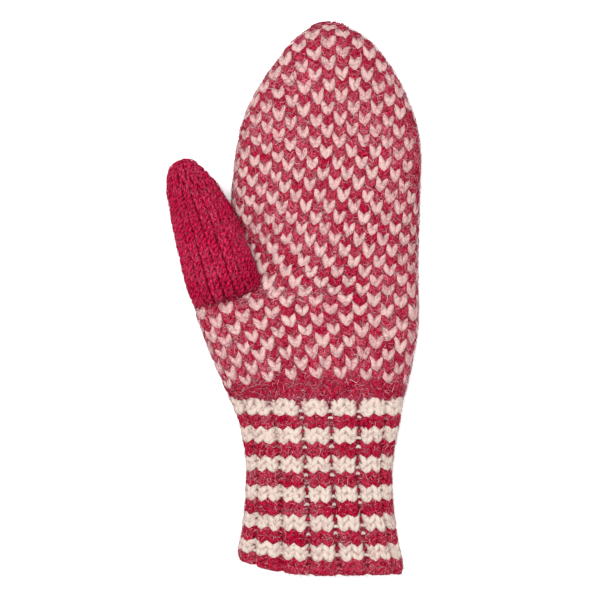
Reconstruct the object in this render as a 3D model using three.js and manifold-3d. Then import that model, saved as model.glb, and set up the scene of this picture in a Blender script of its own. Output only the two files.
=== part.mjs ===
// A knitted wool mitten with a ribbed cuff, lying flat with its palm side up.
// Millimetres, +Z up. The fingers point along +Y and the thumb lies on the -X side.
// The origin is on the resting plane, under the middle of the mitten's outline.

import * as THREE from 'three';
import { mergeVertices } from 'three/addons/utils/BufferGeometryUtils.js';
import Module from 'manifold-3d';

const wasm = await Module();
wasm.setup();

// Walls of felted stockinette, and the clearance where two knitted pieces meet
const HAND_WALL = 4;
const THUMB_WALL = 3.6;
const CUFF_WALL = 4.4;
const SEAM_GAP = 0.3;

// Where the hand ends and the ribbing starts, and the lowest point of the cuff's edge
const WRIST = -50.5;
const CUFF_END = -138.5;

// Cross-section of the tubes: exponents of the curve over the edge and of the pressed underside
const CROWN = 2.2;
const UNDERSIDE = 5;
const PRESSED = 1.2;

// Sections of the hand from the wrist to the finger tip.
// along: place on Y. left, right: side edges on X. top: height of the palm.
// edge: height of the widest line. slope: exponent of the curve over the thumb's side.
const HAND_SECTIONS = [
  { along: WRIST, left: -31.0, right: 55.0, top: 22.5, edge: 10.0, slope: 2.2 },
  { along: -40.5, left: -35.5, right: 57.5, top: 23.5, edge: 10.0, slope: 2.4 },
  { along: -28.5, left: -40.5, right: 60.0, top: 24.5, edge: 10.5, slope: 2.7 },
  { along: -16.5, left: -45.0, right: 62.0, top: 25.0, edge: 10.5, slope: 3.0 },
  { along: -6.0, left: -48.3, right: 62.5, top: 25.0, edge: 10.5, slope: 3.0 },
  { along: 1.0, left: -46.0, right: 62.5, top: 25.0, edge: 10.0, slope: 2.4 },
  { along: 5.5, left: -35.0, right: 62.5, top: 25.0, edge: 9.0, slope: 1.9 },
  { along: 12.5, left: -28.5, right: 62.5, top: 25.0, edge: 8.0, slope: 1.6 },
  { along: 22.0, left: -28.8, right: 62.5, top: 25.5, edge: 7.5, slope: 1.55 },
  { along: 34.0, left: -30.5, right: 62.8, top: 26.0, edge: 7.5, slope: 1.65 },
  { along: 48.0, left: -30.8, right: 63.0, top: 26.5, edge: 9.0, slope: 1.9 },
  { along: 62.0, left: -29.6, right: 63.4, top: 26.5, edge: 10.5, slope: 2.1 },
  { along: 78.0, left: -27.5, right: 63.2, top: 26.5, edge: 10.5, slope: 2.2 },
  { along: 94.0, left: -23.0, right: 59.4, top: 25.5, edge: 10.5, slope: 2.2 },
  { along: 108.0, left: -15.6, right: 53.4, top: 24.0, edge: 10.0, slope: 2.2 },
  { along: 119.5, left: -7.5, right: 46.4, top: 22.0, edge: 9.5, slope: 2.2 },
  { along: 128.5, left: -0.4, right: 38.6, top: 19.5, edge: 9.2, slope: 2.2 },
  { along: 134.5, left: 6.5, right: 30.6, top: 16.3, edge: 9.0, slope: 2.2 },
  { along: 137.6, left: 12.2, right: 24.6, top: 12.8, edge: 9.0, slope: 2.2 },
  { along: 138.5, left: 18.5, right: 18.5, top: 9.0, edge: 9.0, slope: 2.2 },
];

// The palm dips beside the base of the thumb
const PALM_DIP = { x: -15, y: 5, depth: 5, radius: 15 };

// Sections of the cuff from the wrist to its edge; drop is the part of the cuff's length
const CUFF_SECTIONS = [
  { drop: 0.0, left: -31.0, right: 55.0, top: 22.5, edge: 10.0 },
  { drop: 0.12, left: -27.4, right: 53.4, top: 22.5, edge: 10.0 },
  { drop: 0.26, left: -24.9, right: 51.0, top: 22.5, edge: 10.0 },
  { drop: 0.42, left: -23.5, right: 49.6, top: 22.5, edge: 10.0 },
  { drop: 0.6, left: -23.8, right: 50.2, top: 22.8, edge: 10.0 },
  { drop: 0.8, left: -25.4, right: 52.4, top: 23.0, edge: 10.0 },
  { drop: 1.0, left: -27.8, right: 55.2, top: 22.5, edge: 10.0 },
];

// Two knit columns and one sunken column make a rib
const RIBS = 13;
const RIB_GROOVE = 1.9;
const GROOVE_SHARPNESS = 0.75;

// The cuff's lower edge rises towards its two side folds
const LEFT_RISE = 9.5;
const RIGHT_RISE = 2;
const LEFT_RISE_CURVE = 2;
const RIGHT_RISE_CURVE = 5;

// The thumb leans away from the hand; its sections run from inside the hand to its tip.
// along: distance from the base centre. across, deep: half widths. shift: sideways bend.
// height: the axis above the resting plane.
const THUMB_BASE = { x: -31.5, y: -0.5 };
const THUMB_LEAN = THREE.MathUtils.degToRad(18);
const THUMB_SECTIONS = [
  { along: -8.0, across: 15.0, deep: 8.0, shift: 0.0, height: 12.0 },
  { along: -2.0, across: 17.0, deep: 10.4, shift: 0.0, height: 14.2 },
  { along: 8.0, across: 18.0, deep: 12.0, shift: 0.0, height: 18.6 },
  { along: 22.0, across: 17.4, deep: 12.0, shift: 0.0, height: 20.2 },
  { along: 38.0, across: 16.1, deep: 12.0, shift: 0.0, height: 18.0 },
  { along: 51.0, across: 14.1, deep: 11.6, shift: -0.4, height: 14.0 },
  { along: 61.0, across: 11.8, deep: 10.4, shift: -1.4, height: 10.6 },
  { along: 68.0, across: 8.8, deep: 8.6, shift: -2.0, height: 9.4 },
  { along: 72.6, across: 5.4, deep: 5.4, shift: -2.1, height: 9.0 },
  { along: 74.5, across: 0.0, deep: 0.0, shift: -2.1, height: 9.0 },
];

// The thumb's hollow runs on into the hand and narrows there
const HOLLOW_START = { along: -20, across: 11, deep: 6.2, shift: 0, height: 12.4 };

// Facets around and along each tube
const HAND_AROUND = 44;
const HAND_STEPS = 26;
const THUMB_AROUND = 26;
const THUMB_STEPS = 15;
const STEPS_PER_RIB = 6;
const CUFF_STEPS = 8;
const FINE_STEPS = 360;

// Vertices nearer than this are one
const MERGE_DISTANCE = 1e-4;

// A smooth curve through four values, from the second at t = 0 to the third at t = 1
function smoothThrough(before, start, end, after, t) {
  const startSlope = (end - before) / 2;
  const endSlope = (after - start) / 2;
  const square = t * t;
  const cube = square * t;
  return (2 * cube - 3 * square + 1) * start + (cube - 2 * square + t) * startSlope
    + (3 * square - 2 * cube) * end + (cube - square) * endSlope;
}

// One section at a place between the rows of a table; place runs from 0 to 1
function sectionAt(table, place) {
  const last = table.length - 1;
  const row = Math.min(Math.floor(place * last), last - 1);
  const t = place * last - row;
  const pick = (index) => table[THREE.MathUtils.clamp(index, 0, last)];
  const section = {};
  for (const column of Object.keys(table[0])) {
    const values = [row - 1, row, row + 1, row + 2].map((index) => pick(index)[column]);
    section[column] = smoothThrough(...values, t);
  }
  return section;
}

// Point of a flattened tube's section at an angle, from the right edge over the top
function flatTubePoint(section, angle, leftCrown) {
  const halfWidth = (section.right - section.left) / 2;
  const centre = (section.right + section.left) / 2;
  const across = Math.cos(angle);
  const up = Math.sin(angle);
  const top = across < 0 ? leftCrown : CROWN;
  const power = 2 / (up > 0 ? top : UNDERSIDE);
  const x = centre + halfWidth * Math.sign(across) * Math.abs(across) ** power;
  const rise = up > 0 ? section.top - section.edge : section.edge + PRESSED;
  const z = section.edge + rise * Math.sign(up) * Math.abs(up) ** power;
  return { x, z: Math.max(z, 0) };
}

// Rings of points for the hand's outside, the last one gathered in the tip
function handRings() {
  const rings = [];
  for (let step = 0; step <= HAND_STEPS; step += 1) {
    const section = sectionAt(HAND_SECTIONS, step / HAND_STEPS);
    const ring = [];
    for (let index = 0; index < HAND_AROUND; index += 1) {
      const angle = (index / HAND_AROUND) * 2 * Math.PI;
      const { x, z } = flatTubePoint(section, angle, section.slope);
      const raised = Math.max(z - section.edge, 0) / Math.max(section.top - section.edge, 1);
      ring.push(new THREE.Vector3(x, section.along, z - raised * palmDip(x, section.along)));
    }
    rings.push(ring);
  }
  return rings;
}

// Depth of the dip beside the thumb at a place on the palm
function palmDip(x, y) {
  const distance = Math.hypot(x - PALM_DIP.x, y - PALM_DIP.y) / PALM_DIP.radius;
  return PALM_DIP.depth * Math.exp(-distance * distance);
}

// Points at equal distances around a flattened tube's section, from the middle of its top
function evenSectionPoints(section, count) {
  const fine = [];
  const lengths = [0];
  for (let index = 0; index <= FINE_STEPS; index += 1) {
    const angle = (index / FINE_STEPS + 0.25) * 2 * Math.PI;
    fine.push(flatTubePoint(section, angle, CROWN));
    if (index > 0) {
      const step = Math.hypot(fine[index].x - fine[index - 1].x, fine[index].z - fine[index - 1].z);
      lengths.push(lengths[index - 1] + step);
    }
  }
  const points = [];
  let index = 0;
  for (let place = 0; place < count; place += 1) {
    const wanted = (place / count) * lengths[FINE_STEPS];
    while (lengths[index + 1] < wanted) {
      index += 1;
    }
    const t = (wanted - lengths[index]) / (lengths[index + 1] - lengths[index]);
    const x = THREE.MathUtils.lerp(fine[index].x, fine[index + 1].x, t);
    const z = THREE.MathUtils.lerp(fine[index].z, fine[index + 1].z, t);
    points.push({ x, z });
  }
  return points;
}

// Height by which the cuff's edge rises at a place across it, from -1 to 1
function edgeRise(side) {
  if (side < 0) {
    return LEFT_RISE * Math.abs(side) ** LEFT_RISE_CURVE;
  }
  return RIGHT_RISE * side ** RIGHT_RISE_CURVE;
}

// Rings of points for the cuff, sunk by the grooves between its ribs
function cuffRings(groove) {
  const top = WRIST - SEAM_GAP;
  const around = RIBS * STEPS_PER_RIB;
  const rings = [];
  for (let step = CUFF_STEPS; step >= 0; step -= 1) {
    const drop = step / CUFF_STEPS;
    const section = cuffSection(drop);
    const centre = (section.right + section.left) / 2;
    const halfWidth = (section.right - section.left) / 2;
    const points = evenSectionPoints(section, around);
    rings.push(points.map(({ x, z }, index) => {
      const before = points[(index + around - 1) % around];
      const after = points[(index + 1) % around];
      const inward = new THREE.Vector2(before.z - after.z, after.x - before.x).normalize();
      const sunk = groove * grooveDepth(index / around);
      const side = THREE.MathUtils.clamp((x - centre) / halfWidth, -1, 1);
      const end = CUFF_END + edgeRise(side);
      const y = THREE.MathUtils.lerp(top, end, drop);
      return new THREE.Vector3(x + inward.x * sunk, y, z + inward.y * sunk);
    }));
  }
  return rings;
}

// Section of the cuff at a part of its length, with rows at uneven distances
function cuffSection(drop) {
  const last = CUFF_SECTIONS.length - 1;
  const row = Math.min(CUFF_SECTIONS.findLastIndex((entry) => entry.drop <= drop), last - 1);
  const start = CUFF_SECTIONS[row].drop;
  const t = (drop - start) / (CUFF_SECTIONS[row + 1].drop - start);
  return sectionAt(CUFF_SECTIONS, (row + t) / last);
}

// How far a place around the cuff is sunk, from 0 on a rib to 1 in a groove.
// A rib's middle lies on the middle of the cuff's top.
function grooveDepth(turn) {
  const fromRib = Math.abs(turn * RIBS - Math.round(turn * RIBS));
  return Math.max(0, Math.cos((1 - 2 * fromRib) * Math.PI * GROOVE_SHARPNESS));
}

// Point on the thumb at a distance along it, across it and above the resting plane
function thumbPoint(along, across, height) {
  return new THREE.Vector3(
    THUMB_BASE.x - along * Math.sin(THUMB_LEAN) + across * Math.cos(THUMB_LEAN),
    THUMB_BASE.y + along * Math.cos(THUMB_LEAN) + across * Math.sin(THUMB_LEAN),
    height,
  );
}

// Rings of points along a table of thumb sections
function thumbRings(sections, steps, floor) {
  const rings = [];
  for (let step = 0; step <= steps; step += 1) {
    const section = sectionAt(sections, step / steps);
    const ring = [];
    for (let index = 0; index < THUMB_AROUND; index += 1) {
      const angle = (index / THUMB_AROUND) * 2 * Math.PI;
      const height = section.height + section.deep * Math.sin(angle);
      const across = section.shift + section.across * Math.cos(angle);
      ring.push(thumbPoint(section.along, across, Math.max(height, floor)));
    }
    rings.push(ring);
  }
  return rings;
}

// The same rings moved along their normals; a positive distance moves them outwards.
// Open ends stay in their own plane, and a gathered tip moves along the tube.
function offsetRings(rings, distance, tipDirection) {
  const count = rings[0].length;
  const last = rings.length - 1;
  return rings.map((ring, row) => ring.map((point, index) => {
    if (tipDirection && row === last) {
      return point.clone().addScaledVector(tipDirection, distance);
    }
    const ahead = rings[Math.min(row + 1, last)][index];
    const behind = rings[Math.max(row - 1, 0)][index];
    const along = new THREE.Vector3().subVectors(ahead, behind);
    const next = ring[(index + 1) % count];
    const previous = ring[(index + count - 1) % count];
    const around = new THREE.Vector3().subVectors(next, previous);
    const normal = new THREE.Vector3().crossVectors(along, around);
    if (row === 0 || (row === last && !tipDirection)) {
      normal.y = 0;
    }
    return point.clone().addScaledVector(normal.normalize(), distance);
  }));
}

// Collects vertices and triangles of a closed body built from rings
class BodyBuilder {
  constructor() {
    this.positions = [];
    this.indices = [];
  }

  // Adds a ring's points and returns the index of the first one
  addRing(ring) {
    const first = this.positions.length / 3;
    ring.forEach((point) => this.positions.push(point.x, point.y, point.z));
    return first;
  }

  // Joins two rings of the same count with a band of triangles
  addBand(first, second, count) {
    for (let index = 0; index < count; index += 1) {
      const next = (index + 1) % count;
      this.indices.push(first + index, second + index, second + next);
      this.indices.push(first + index, second + next, first + next);
    }
  }

  // Adds a surface of rings; a flipped one faces the other way
  addSkin(rings, flipped) {
    const count = rings[0].length;
    const starts = rings.map((ring) => this.addRing(ring));
    for (let row = 0; row + 1 < starts.length; row += 1) {
      const [lower, upper] = flipped ? [starts[row + 1], starts[row]] : [starts[row], starts[row + 1]];
      this.addBand(lower, upper, count);
    }
    return starts;
  }

  // Closes a ring with triangles to its middle
  addCap(start, ring) {
    const middle = new THREE.Vector3();
    ring.forEach((point) => middle.addScaledVector(point, 1 / ring.length));
    const centre = this.addRing([middle]);
    for (let index = 0; index < ring.length; index += 1) {
      this.indices.push(centre, start + index, start + ((index + 1) % ring.length));
    }
  }

  geometry() {
    const geometry = new THREE.BufferGeometry();
    geometry.setAttribute('position', new THREE.Float32BufferAttribute(this.positions, 3));
    geometry.setIndex(this.indices);
    return cleaned(geometry);
  }
}

// Merges equal vertices and drops the triangles that this closes up
function cleaned(geometry) {
  const merged = mergeVertices(geometry, MERGE_DISTANCE);
  const kept = [];
  const index = merged.index.array;
  for (let corner = 0; corner < index.length; corner += 3) {
    const [a, b, c] = [index[corner], index[corner + 1], index[corner + 2]];
    if (a !== b && b !== c && c !== a) {
      kept.push(a, b, c);
    }
  }
  merged.setIndex(kept);
  return merged;
}

// A wall between an outer and an inner skin, open at its first ring and closed at a gathered tip
function tippedWall(outer, inner) {
  const body = new BodyBuilder();
  const outerStarts = body.addSkin(outer, false);
  const innerStarts = body.addSkin(inner, true);
  body.addBand(innerStarts[0], outerStarts[0], outer[0].length);
  return body.geometry();
}

// A wall open at both ends
function openWall(outer, inner) {
  const body = new BodyBuilder();
  const outerStarts = body.addSkin(outer, false);
  const innerStarts = body.addSkin(inner, true);
  const count = outer[0].length;
  body.addBand(innerStarts[0], outerStarts[0], count);
  body.addBand(outerStarts.at(-1), innerStarts.at(-1), count);
  return body.geometry();
}

// A full solid inside one skin, closed by a cap at its first ring
function tippedSolid(rings) {
  const body = new BodyBuilder();
  const starts = body.addSkin(rings, false);
  body.addCap(starts[0], rings[0]);
  return body.geometry();
}

function toManifold(geometry) {
  return new wasm.Manifold(new wasm.Mesh({
    numProp: 3,
    vertProperties: new Float32Array(geometry.attributes.position.array),
    triVerts: new Uint32Array(geometry.index.array),
  }));
}

function toGeometry(manifold) {
  const mesh = manifold.getMesh();
  const geometry = new THREE.BufferGeometry();
  geometry.setAttribute('position', new THREE.BufferAttribute(mesh.vertProperties, 3));
  geometry.setIndex(new THREE.BufferAttribute(mesh.triVerts, 1));
  return geometry;
}

function named(name, geometry, color, roughness) {
  geometry.computeVertexNormals();
  const material = new THREE.MeshStandardMaterial({ color, roughness, metalness: 0 });
  const mesh = new THREE.Mesh(geometry, material);
  mesh.name = name;
  return mesh;
}

const fingerwards = new THREE.Vector3(0, 1, 0);
const thumbwards = new THREE.Vector3(-Math.sin(THUMB_LEAN), Math.cos(THUMB_LEAN), 0);

// Hand: a flattened hollow bag, open at the wrist and where the thumb is knitted on
const handOutside = handRings();
const handInside = offsetRings(handOutside, -HAND_WALL, fingerwards);
const handWall = toManifold(tippedWall(handOutside, handInside));
const handClearance = toManifold(tippedSolid(offsetRings(handOutside, SEAM_GAP, fingerwards)));

// Thumb: a round-tipped tube that sits on the shoulder of the hand's gusset
const thumbOutside = thumbRings(THUMB_SECTIONS, THUMB_STEPS, 0);
const thumbInside = offsetRings(thumbOutside, -THUMB_WALL, thumbwards);
const thumbWall = toManifold(tippedWall(thumbOutside, thumbInside));
const hollowStart = thumbRings([HOLLOW_START, HOLLOW_START], 1, 0)[0];
const thumbHollow = toManifold(tippedSolid([hollowStart, ...thumbInside]));

// Cuff: a tube of raised ribs whose inside is plain
const cuffOutside = cuffRings(RIB_GROOVE);
const cuffInside = offsetRings(cuffRings(0), -CUFF_WALL);

const mitten = new THREE.Group();
mitten.add(named('hand', toGeometry(handWall.subtract(thumbHollow)), 0xc9606f, 0.95));
mitten.add(named('thumb', toGeometry(thumbWall.subtract(handClearance)), 0xb32245, 0.95));
mitten.add(named('cuff', openWall(cuffOutside, cuffInside), 0xe6d3c8, 0.95));

export default mitten;
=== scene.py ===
"""Knitted wool mitten with a ribbed cuff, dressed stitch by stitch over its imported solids.

The mitten lies flat with its palm up: fingers along +Y, thumb on the -X side.
Sizes are in millimetres and become metres when a mesh is made.
"""

import logging
import math
from dataclasses import dataclass, field
from enum import Enum
from typing import Callable, NamedTuple, Optional, Sequence, Union

import bpy
import numpy as np
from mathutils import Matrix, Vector


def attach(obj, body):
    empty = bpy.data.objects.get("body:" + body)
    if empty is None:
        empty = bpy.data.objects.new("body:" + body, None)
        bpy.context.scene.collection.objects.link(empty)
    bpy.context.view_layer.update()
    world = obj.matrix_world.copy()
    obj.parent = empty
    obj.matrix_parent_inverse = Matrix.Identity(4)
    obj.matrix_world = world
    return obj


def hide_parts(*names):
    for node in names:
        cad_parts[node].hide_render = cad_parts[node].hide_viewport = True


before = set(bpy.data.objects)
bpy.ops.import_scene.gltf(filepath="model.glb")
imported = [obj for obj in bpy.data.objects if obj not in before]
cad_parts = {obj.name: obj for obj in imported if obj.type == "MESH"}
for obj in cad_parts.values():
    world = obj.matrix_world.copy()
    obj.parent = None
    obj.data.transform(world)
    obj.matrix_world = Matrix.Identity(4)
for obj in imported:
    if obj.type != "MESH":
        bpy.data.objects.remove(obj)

LOG = logging.getLogger("mitten")

MM = 0.001
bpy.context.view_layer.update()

# Brightness of a white surface in full light; the yarns' colours are told as they look in it
LIGHT_LEVEL = 1.8

# Walls of the felted knitting
HAND_WALL = 4.0
THUMB_WALL = 3.6
CUFF_WALL = 4.4
SEAM_GAP = 0.3

# Cross-section of the tubes: exponents of the curve over the edge and of the pressed underside
CROWN = 2.2
UNDERSIDE = 5.0
PRESSED = 1.2

# Height under which wool is pressed flat by the floor
RESTING = 0.6

# Where the hand ends and the ribbing starts, and the lowest point of the cuff's edge
WRIST = -50.5
CUFF_END = -136.4

# Stitches of a round, and the row nearest the wrist that has the pattern
STITCHES_AROUND = 34
LOWEST_PATTERN_ROW = -23

# How many rows the wrist lies under the row that would follow the cuff's top one, how many rows lower the
# cuff's first rows hang, and how many rows under the wrist that is most
WRIST_UNDER = 0.95
WRIST_EASE = 0.3
EASED_ROW = 1.2

# Place on the thumb's axis where it comes out of the hand
THUMB_START = 1.5

# Rows whose stitches at the right edge are all red
RED_EDGE_ROWS = range(-6, 3)

# Added to the columns of the back to tell them from the palm's, and a distance beyond any other
BACK = 1000.0
FAR = 9.0

# Least lengths that are divided by
SMALL = 1e-6
TINY = 1e-9

# Points of a curve before they are spread evenly, for half a turn
FINE_STEPS = 361


class Yarn(Enum):
    """The two yarns that the mitten is knitted from."""

    RED = "red"
    CREAM = "cream"


class HandSection(NamedTuple):
    """One section of the hand: its place, side edges, heights and the slope towards the thumb."""

    along: float
    left: float
    right: float
    top: float
    edge: float
    slope: float


HAND_SECTIONS = (
    HandSection(-50.5, -31.0, 55.0, 22.5, 10.0, 2.2),
    HandSection(-40.5, -35.5, 57.5, 23.5, 10.0, 2.4),
    HandSection(-28.5, -40.5, 60.0, 24.5, 10.5, 2.7),
    HandSection(-16.5, -45.0, 62.0, 25.0, 10.5, 3.0),
    HandSection(-6.0, -48.3, 62.5, 25.0, 10.5, 3.0),
    HandSection(1.0, -46.0, 62.5, 25.0, 10.0, 2.4),
    HandSection(5.5, -35.0, 62.5, 25.0, 9.0, 1.9),
    HandSection(12.5, -28.5, 62.5, 25.0, 8.0, 1.6),
    HandSection(22.0, -28.8, 62.5, 25.5, 7.5, 1.55),
    HandSection(34.0, -30.5, 62.8, 26.0, 7.5, 1.65),
    HandSection(48.0, -30.8, 63.0, 26.5, 9.0, 1.9),
    HandSection(62.0, -29.6, 63.4, 26.5, 10.5, 2.1),
    HandSection(78.0, -27.5, 63.2, 26.5, 10.5, 2.2),
    HandSection(94.0, -23.0, 59.4, 25.5, 10.5, 2.2),
    HandSection(108.0, -15.6, 53.4, 24.0, 10.0, 2.2),
    HandSection(119.5, -7.5, 46.4, 22.0, 9.5, 2.2),
    HandSection(128.5, -0.4, 38.6, 19.5, 9.2, 2.2),
    HandSection(133.9, 6.5, 30.6, 16.3, 9.0, 2.2),
    HandSection(136.6, 12.2, 24.6, 12.8, 9.0, 2.2),
    HandSection(137.2, 18.5, 18.5, 9.0, 9.0, 2.2),
)


class PalmDip(NamedTuple):
    """Round hollow of the palm beside the thumb's base."""

    x: float
    y: float
    depth: float
    radius: float


PALM_DIP = PalmDip(-15.0, 5.0, 5.0, 15.0)


class CuffSection(NamedTuple):
    """One section of the cuff; drop is the part of its length from the wrist."""

    drop: float
    left: float
    right: float
    top: float
    edge: float


CUFF_SECTIONS = (
    CuffSection(0.0, -31.0, 55.0, 22.5, 10.0),
    CuffSection(0.12, -27.4, 53.4, 22.5, 10.0),
    CuffSection(0.26, -24.9, 51.0, 22.5, 10.0),
    CuffSection(0.42, -23.5, 49.6, 22.5, 10.0),
    CuffSection(0.6, -23.8, 50.2, 22.8, 10.0),
    CuffSection(0.8, -25.4, 52.4, 23.0, 10.0),
    CuffSection(0.94, -27.5, 54.8, 22.8, 10.0),
    CuffSection(1.0, -26.6, 54.2, 21.8, 10.0),
)


class ThumbSection(NamedTuple):
    """One section of the thumb: its place, half widths, sideways bend and height of its axis."""

    along: float
    across: float
    deep: float
    shift: float
    height: float


THUMB_SECTIONS = (
    ThumbSection(-8.0, 15.0, 8.0, 0.0, 11.4),
    ThumbSection(-2.0, 17.0, 10.0, 0.0, 12.0),
    ThumbSection(3.0, 17.6, 11.2, 0.0, 14.6),
    ThumbSection(9.0, 18.0, 11.9, 0.0, 18.0),
    ThumbSection(22.0, 17.4, 12.0, 0.0, 20.2),
    ThumbSection(38.0, 16.1, 12.0, 0.0, 18.0),
    ThumbSection(51.0, 14.1, 11.6, -0.4, 14.0),
    ThumbSection(61.0, 11.8, 10.4, -1.4, 10.6),
    ThumbSection(68.0, 8.8, 8.6, -2.0, 9.4),
    ThumbSection(72.6, 5.4, 5.4, -2.1, 9.0),
    ThumbSection(74.5, 0.0, 0.0, -2.1, 9.0),
)


class HandRow(NamedTuple):
    """One row of the hand's knitting.

    along is its place at the middle of the palm, measured over the surface, tilt how much further its
    right end lies, and bow how it curves. first and last are the columns at the two side edges.
    """

    row: float
    along: float
    tilt: float
    bow: float
    first: float
    last: float


HAND_ROWS = (
    HandRow(-26, -50.2, 0.5, -2.0, -8.3, 9.2),
    HandRow(-25, -45.5, 1.0, -6.0, -8.2, 9.3),
    HandRow(-23, -36.3, 3.0, -26.0, -7.9, 9.5),
    HandRow(-20, -20.0, 5.0, -32.0, -7.65, 9.75),
    HandRow(-18, -9.8, 6.4, -31.0, -7.4, 9.8),
    HandRow(-16, -0.3, 6.2, -18.0, -6.95, 9.8),
    HandRow(-15, 4.0, 3.0, -3.0, -6.3, 10.1),
    HandRow(-14, 8.7, 1.0, 9.0, -5.3, 10.0),
    HandRow(-13, 13.4, -1.0, 16.0, -5.4, 10.25),
    HandRow(-12, 18.5, -1.8, 14.0, -6.0, 10.25),
    HandRow(-11, 23.9, -0.8, 10.0, -6.8, 10.35),
    HandRow(-10, 29.5, -0.8, 3.0, -7.35, 10.3),
    HandRow(-8, 40.1, 0.6, -3.0, -8.05, 10.0),
    HandRow(-5, 56.6, 2.5, -14.0, -8.45, 9.35),
    HandRow(-2, 72.3, 4.5, -17.0, -8.5, 8.85),
    HandRow(0, 82.9, 5.6, -20.0, -8.35, 8.6),
    HandRow(3, 99.8, 4.6, -22.0, -7.35, 7.5),
    HandRow(5, 111.4, 4.0, -22.0, -5.9, 6.3),
    HandRow(7, 122.5, 3.8, -13.0, -4.1, 4.6),
    HandRow(8, 127.9, 3.7, -4.0, -3.2, 3.6),
    HandRow(9, 133.2, 2.0, -2.0, -2.2, 2.6),
    HandRow(10, 138.3, 0.0, 0.0, -1.3, 1.5),
    HandRow(11, 143.0, 0.0, 0.0, -0.6, 0.8),
)


def through(keys: np.ndarray, values: np.ndarray, wanted: np.ndarray) -> np.ndarray:
    """Reads a smooth curve through values at keys.

    Args:
        keys: Rising places, one per value.
        values: The values at those places.
        wanted: Places to read the curve at.

    Returns:
        The curve's value at each wanted place.
    """
    keys = np.asarray(keys, float)
    values = np.asarray(values, float)
    slopes = np.empty_like(values)
    slopes[1:-1] = (values[2:] - values[:-2]) / (keys[2:] - keys[:-2])
    slopes[0] = (values[1] - values[0]) / (keys[1] - keys[0]) / 2
    slopes[-1] = (values[-1] - values[-2]) / (keys[-1] - keys[-2]) / 2
    spot = np.clip(np.searchsorted(keys, wanted, side="right") - 1, 0, len(keys) - 2)
    width = keys[spot + 1] - keys[spot]
    t = np.clip((wanted - keys[spot]) / width, 0, 1)
    square, cube = t * t, t * t * t
    start = (2 * cube - 3 * square + 1) * values[spot] + (cube - 2 * square + t) * slopes[spot] * width
    return start + (3 * square - 2 * cube) * values[spot + 1] + (cube - square) * slopes[spot + 1] * width


def smooth_rows(table: tuple[NamedTuple, ...], count: int) -> dict[str, np.ndarray]:
    """Reads every column of a table of sections at even places between its rows.

    Args:
        table: Rows with named columns.
        count: How many places to read.

    Returns:
        One array per column, by its name.
    """
    keys = np.arange(len(table))
    places = np.linspace(0, len(table) - 1, count)
    names = table[0]._fields
    return {name: through(keys, np.array([getattr(row, name) for row in table]), places) for name in names}


def read_columns(table: dict[str, np.ndarray], keys: np.ndarray, wanted: np.ndarray) -> dict[str, np.ndarray]:
    """Reads every column of a table between its places.

    Args:
        table: One array per column, by its name.
        keys: Rising places of the table's values.
        wanted: Places to read it at.

    Returns:
        The columns' values there, by name.
    """
    return {name: np.interp(wanted, keys, values) for name, values in table.items()}


def signed_power(value: np.ndarray, power: np.ndarray | float) -> np.ndarray:
    """Raises a value's size to a power and keeps its sign."""
    return np.sign(value) * np.abs(value) ** power


class Skin:
    """The outer skin of a knitted tube, read by place along it and turn around it.

    The turn runs from 0 to 1 against the clock, seen from the open end, and the skin is kept as a grid of
    points. Outward is the direction of growing turn crossed with the direction of growing place.
    """

    def __init__(self, alongs: np.ndarray, rings: np.ndarray, tipped: bool) -> None:
        """Keeps the grid and works out its outward directions.

        Args:
            alongs: Rising place of each ring.
            rings: Points, by ring and by even turn, the last point next to the first.
            tipped: Whether the last ring is gathered in a tip.
        """
        self.alongs = alongs
        self.rings = rings
        self.tipped = tipped
        around = np.roll(rings, -1, axis=1) - np.roll(rings, 1, axis=1)
        ahead = np.gradient(rings, axis=0)
        normals = np.cross(around, ahead)
        length = np.linalg.norm(normals, axis=2, keepdims=True)
        normals = normals / np.maximum(length, TINY)
        if tipped:
            normals[-1] = normals[-3].mean(axis=0)
            normals[-1] /= np.linalg.norm(normals[-1, 0])
        self.normals = normals
        self.start = (rings[1] - rings[0]) / (alongs[1] - alongs[0])
        self.end = (rings[-1] - rings[-2]) / (alongs[-1] - alongs[-2])

    def _read(self, grid: np.ndarray, along: np.ndarray, turn: np.ndarray) -> np.ndarray:
        """Reads a grid between its points.

        Args:
            grid: Values by ring and turn.
            along: Places along the tube.
            turn: Turns around it.

        Returns:
            The values there.
        """
        ring = np.interp(along, self.alongs, np.arange(len(self.alongs)))
        low = np.minimum(ring.astype(int), len(self.alongs) - 2)
        part = (ring - low)[..., None]
        count = grid.shape[1]
        spot = np.mod(turn, 1.0) * count
        left = spot.astype(int) % count
        right = (left + 1) % count
        side = (spot - np.floor(spot))[..., None]
        lower = grid[low, left] * (1 - side) + grid[low, right] * side
        upper = grid[low + 1, left] * (1 - side) + grid[low + 1, right] * side
        return lower * (1 - part) + upper * part

    def point(self, along: np.ndarray, turn: np.ndarray, height: np.ndarray | float) -> np.ndarray:
        """Finds points at a height over the skin. An open end runs straight on beyond its last ring.

        Args:
            along: Places along the tube.
            turn: Turns around it.
            height: Height over the skin, negative inside the wall.

        Returns:
            Points in millimetres.
        """
        outward = self._read(self.normals, along, turn)
        outward /= np.maximum(np.linalg.norm(outward, axis=-1, keepdims=True), TINY)
        points = self._read(self.rings, along, turn) + outward * np.asarray(height)[..., None]
        spot = np.floor(np.mod(turn, 1.0) * self.rings.shape[1]).astype(int) % self.rings.shape[1]
        points = points + self.start[spot] * np.minimum(along - self.alongs[0], 0)[..., None]
        if self.tipped:
            return points
        return points + self.end[spot] * np.maximum(along - self.alongs[-1], 0)[..., None]


def resting(points: np.ndarray) -> np.ndarray:
    """Presses points that would sink into the floor flat against it.

    Args:
        points: Points in millimetres.

    Returns:
        The points, none of them under the floor.
    """
    low = np.minimum(points[..., 2], RESTING)
    pressed = RESTING * np.exp((low - RESTING) / RESTING)
    return np.concatenate([points[..., :2], (points[..., 2] - low + pressed)[..., None]], axis=-1)


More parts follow.
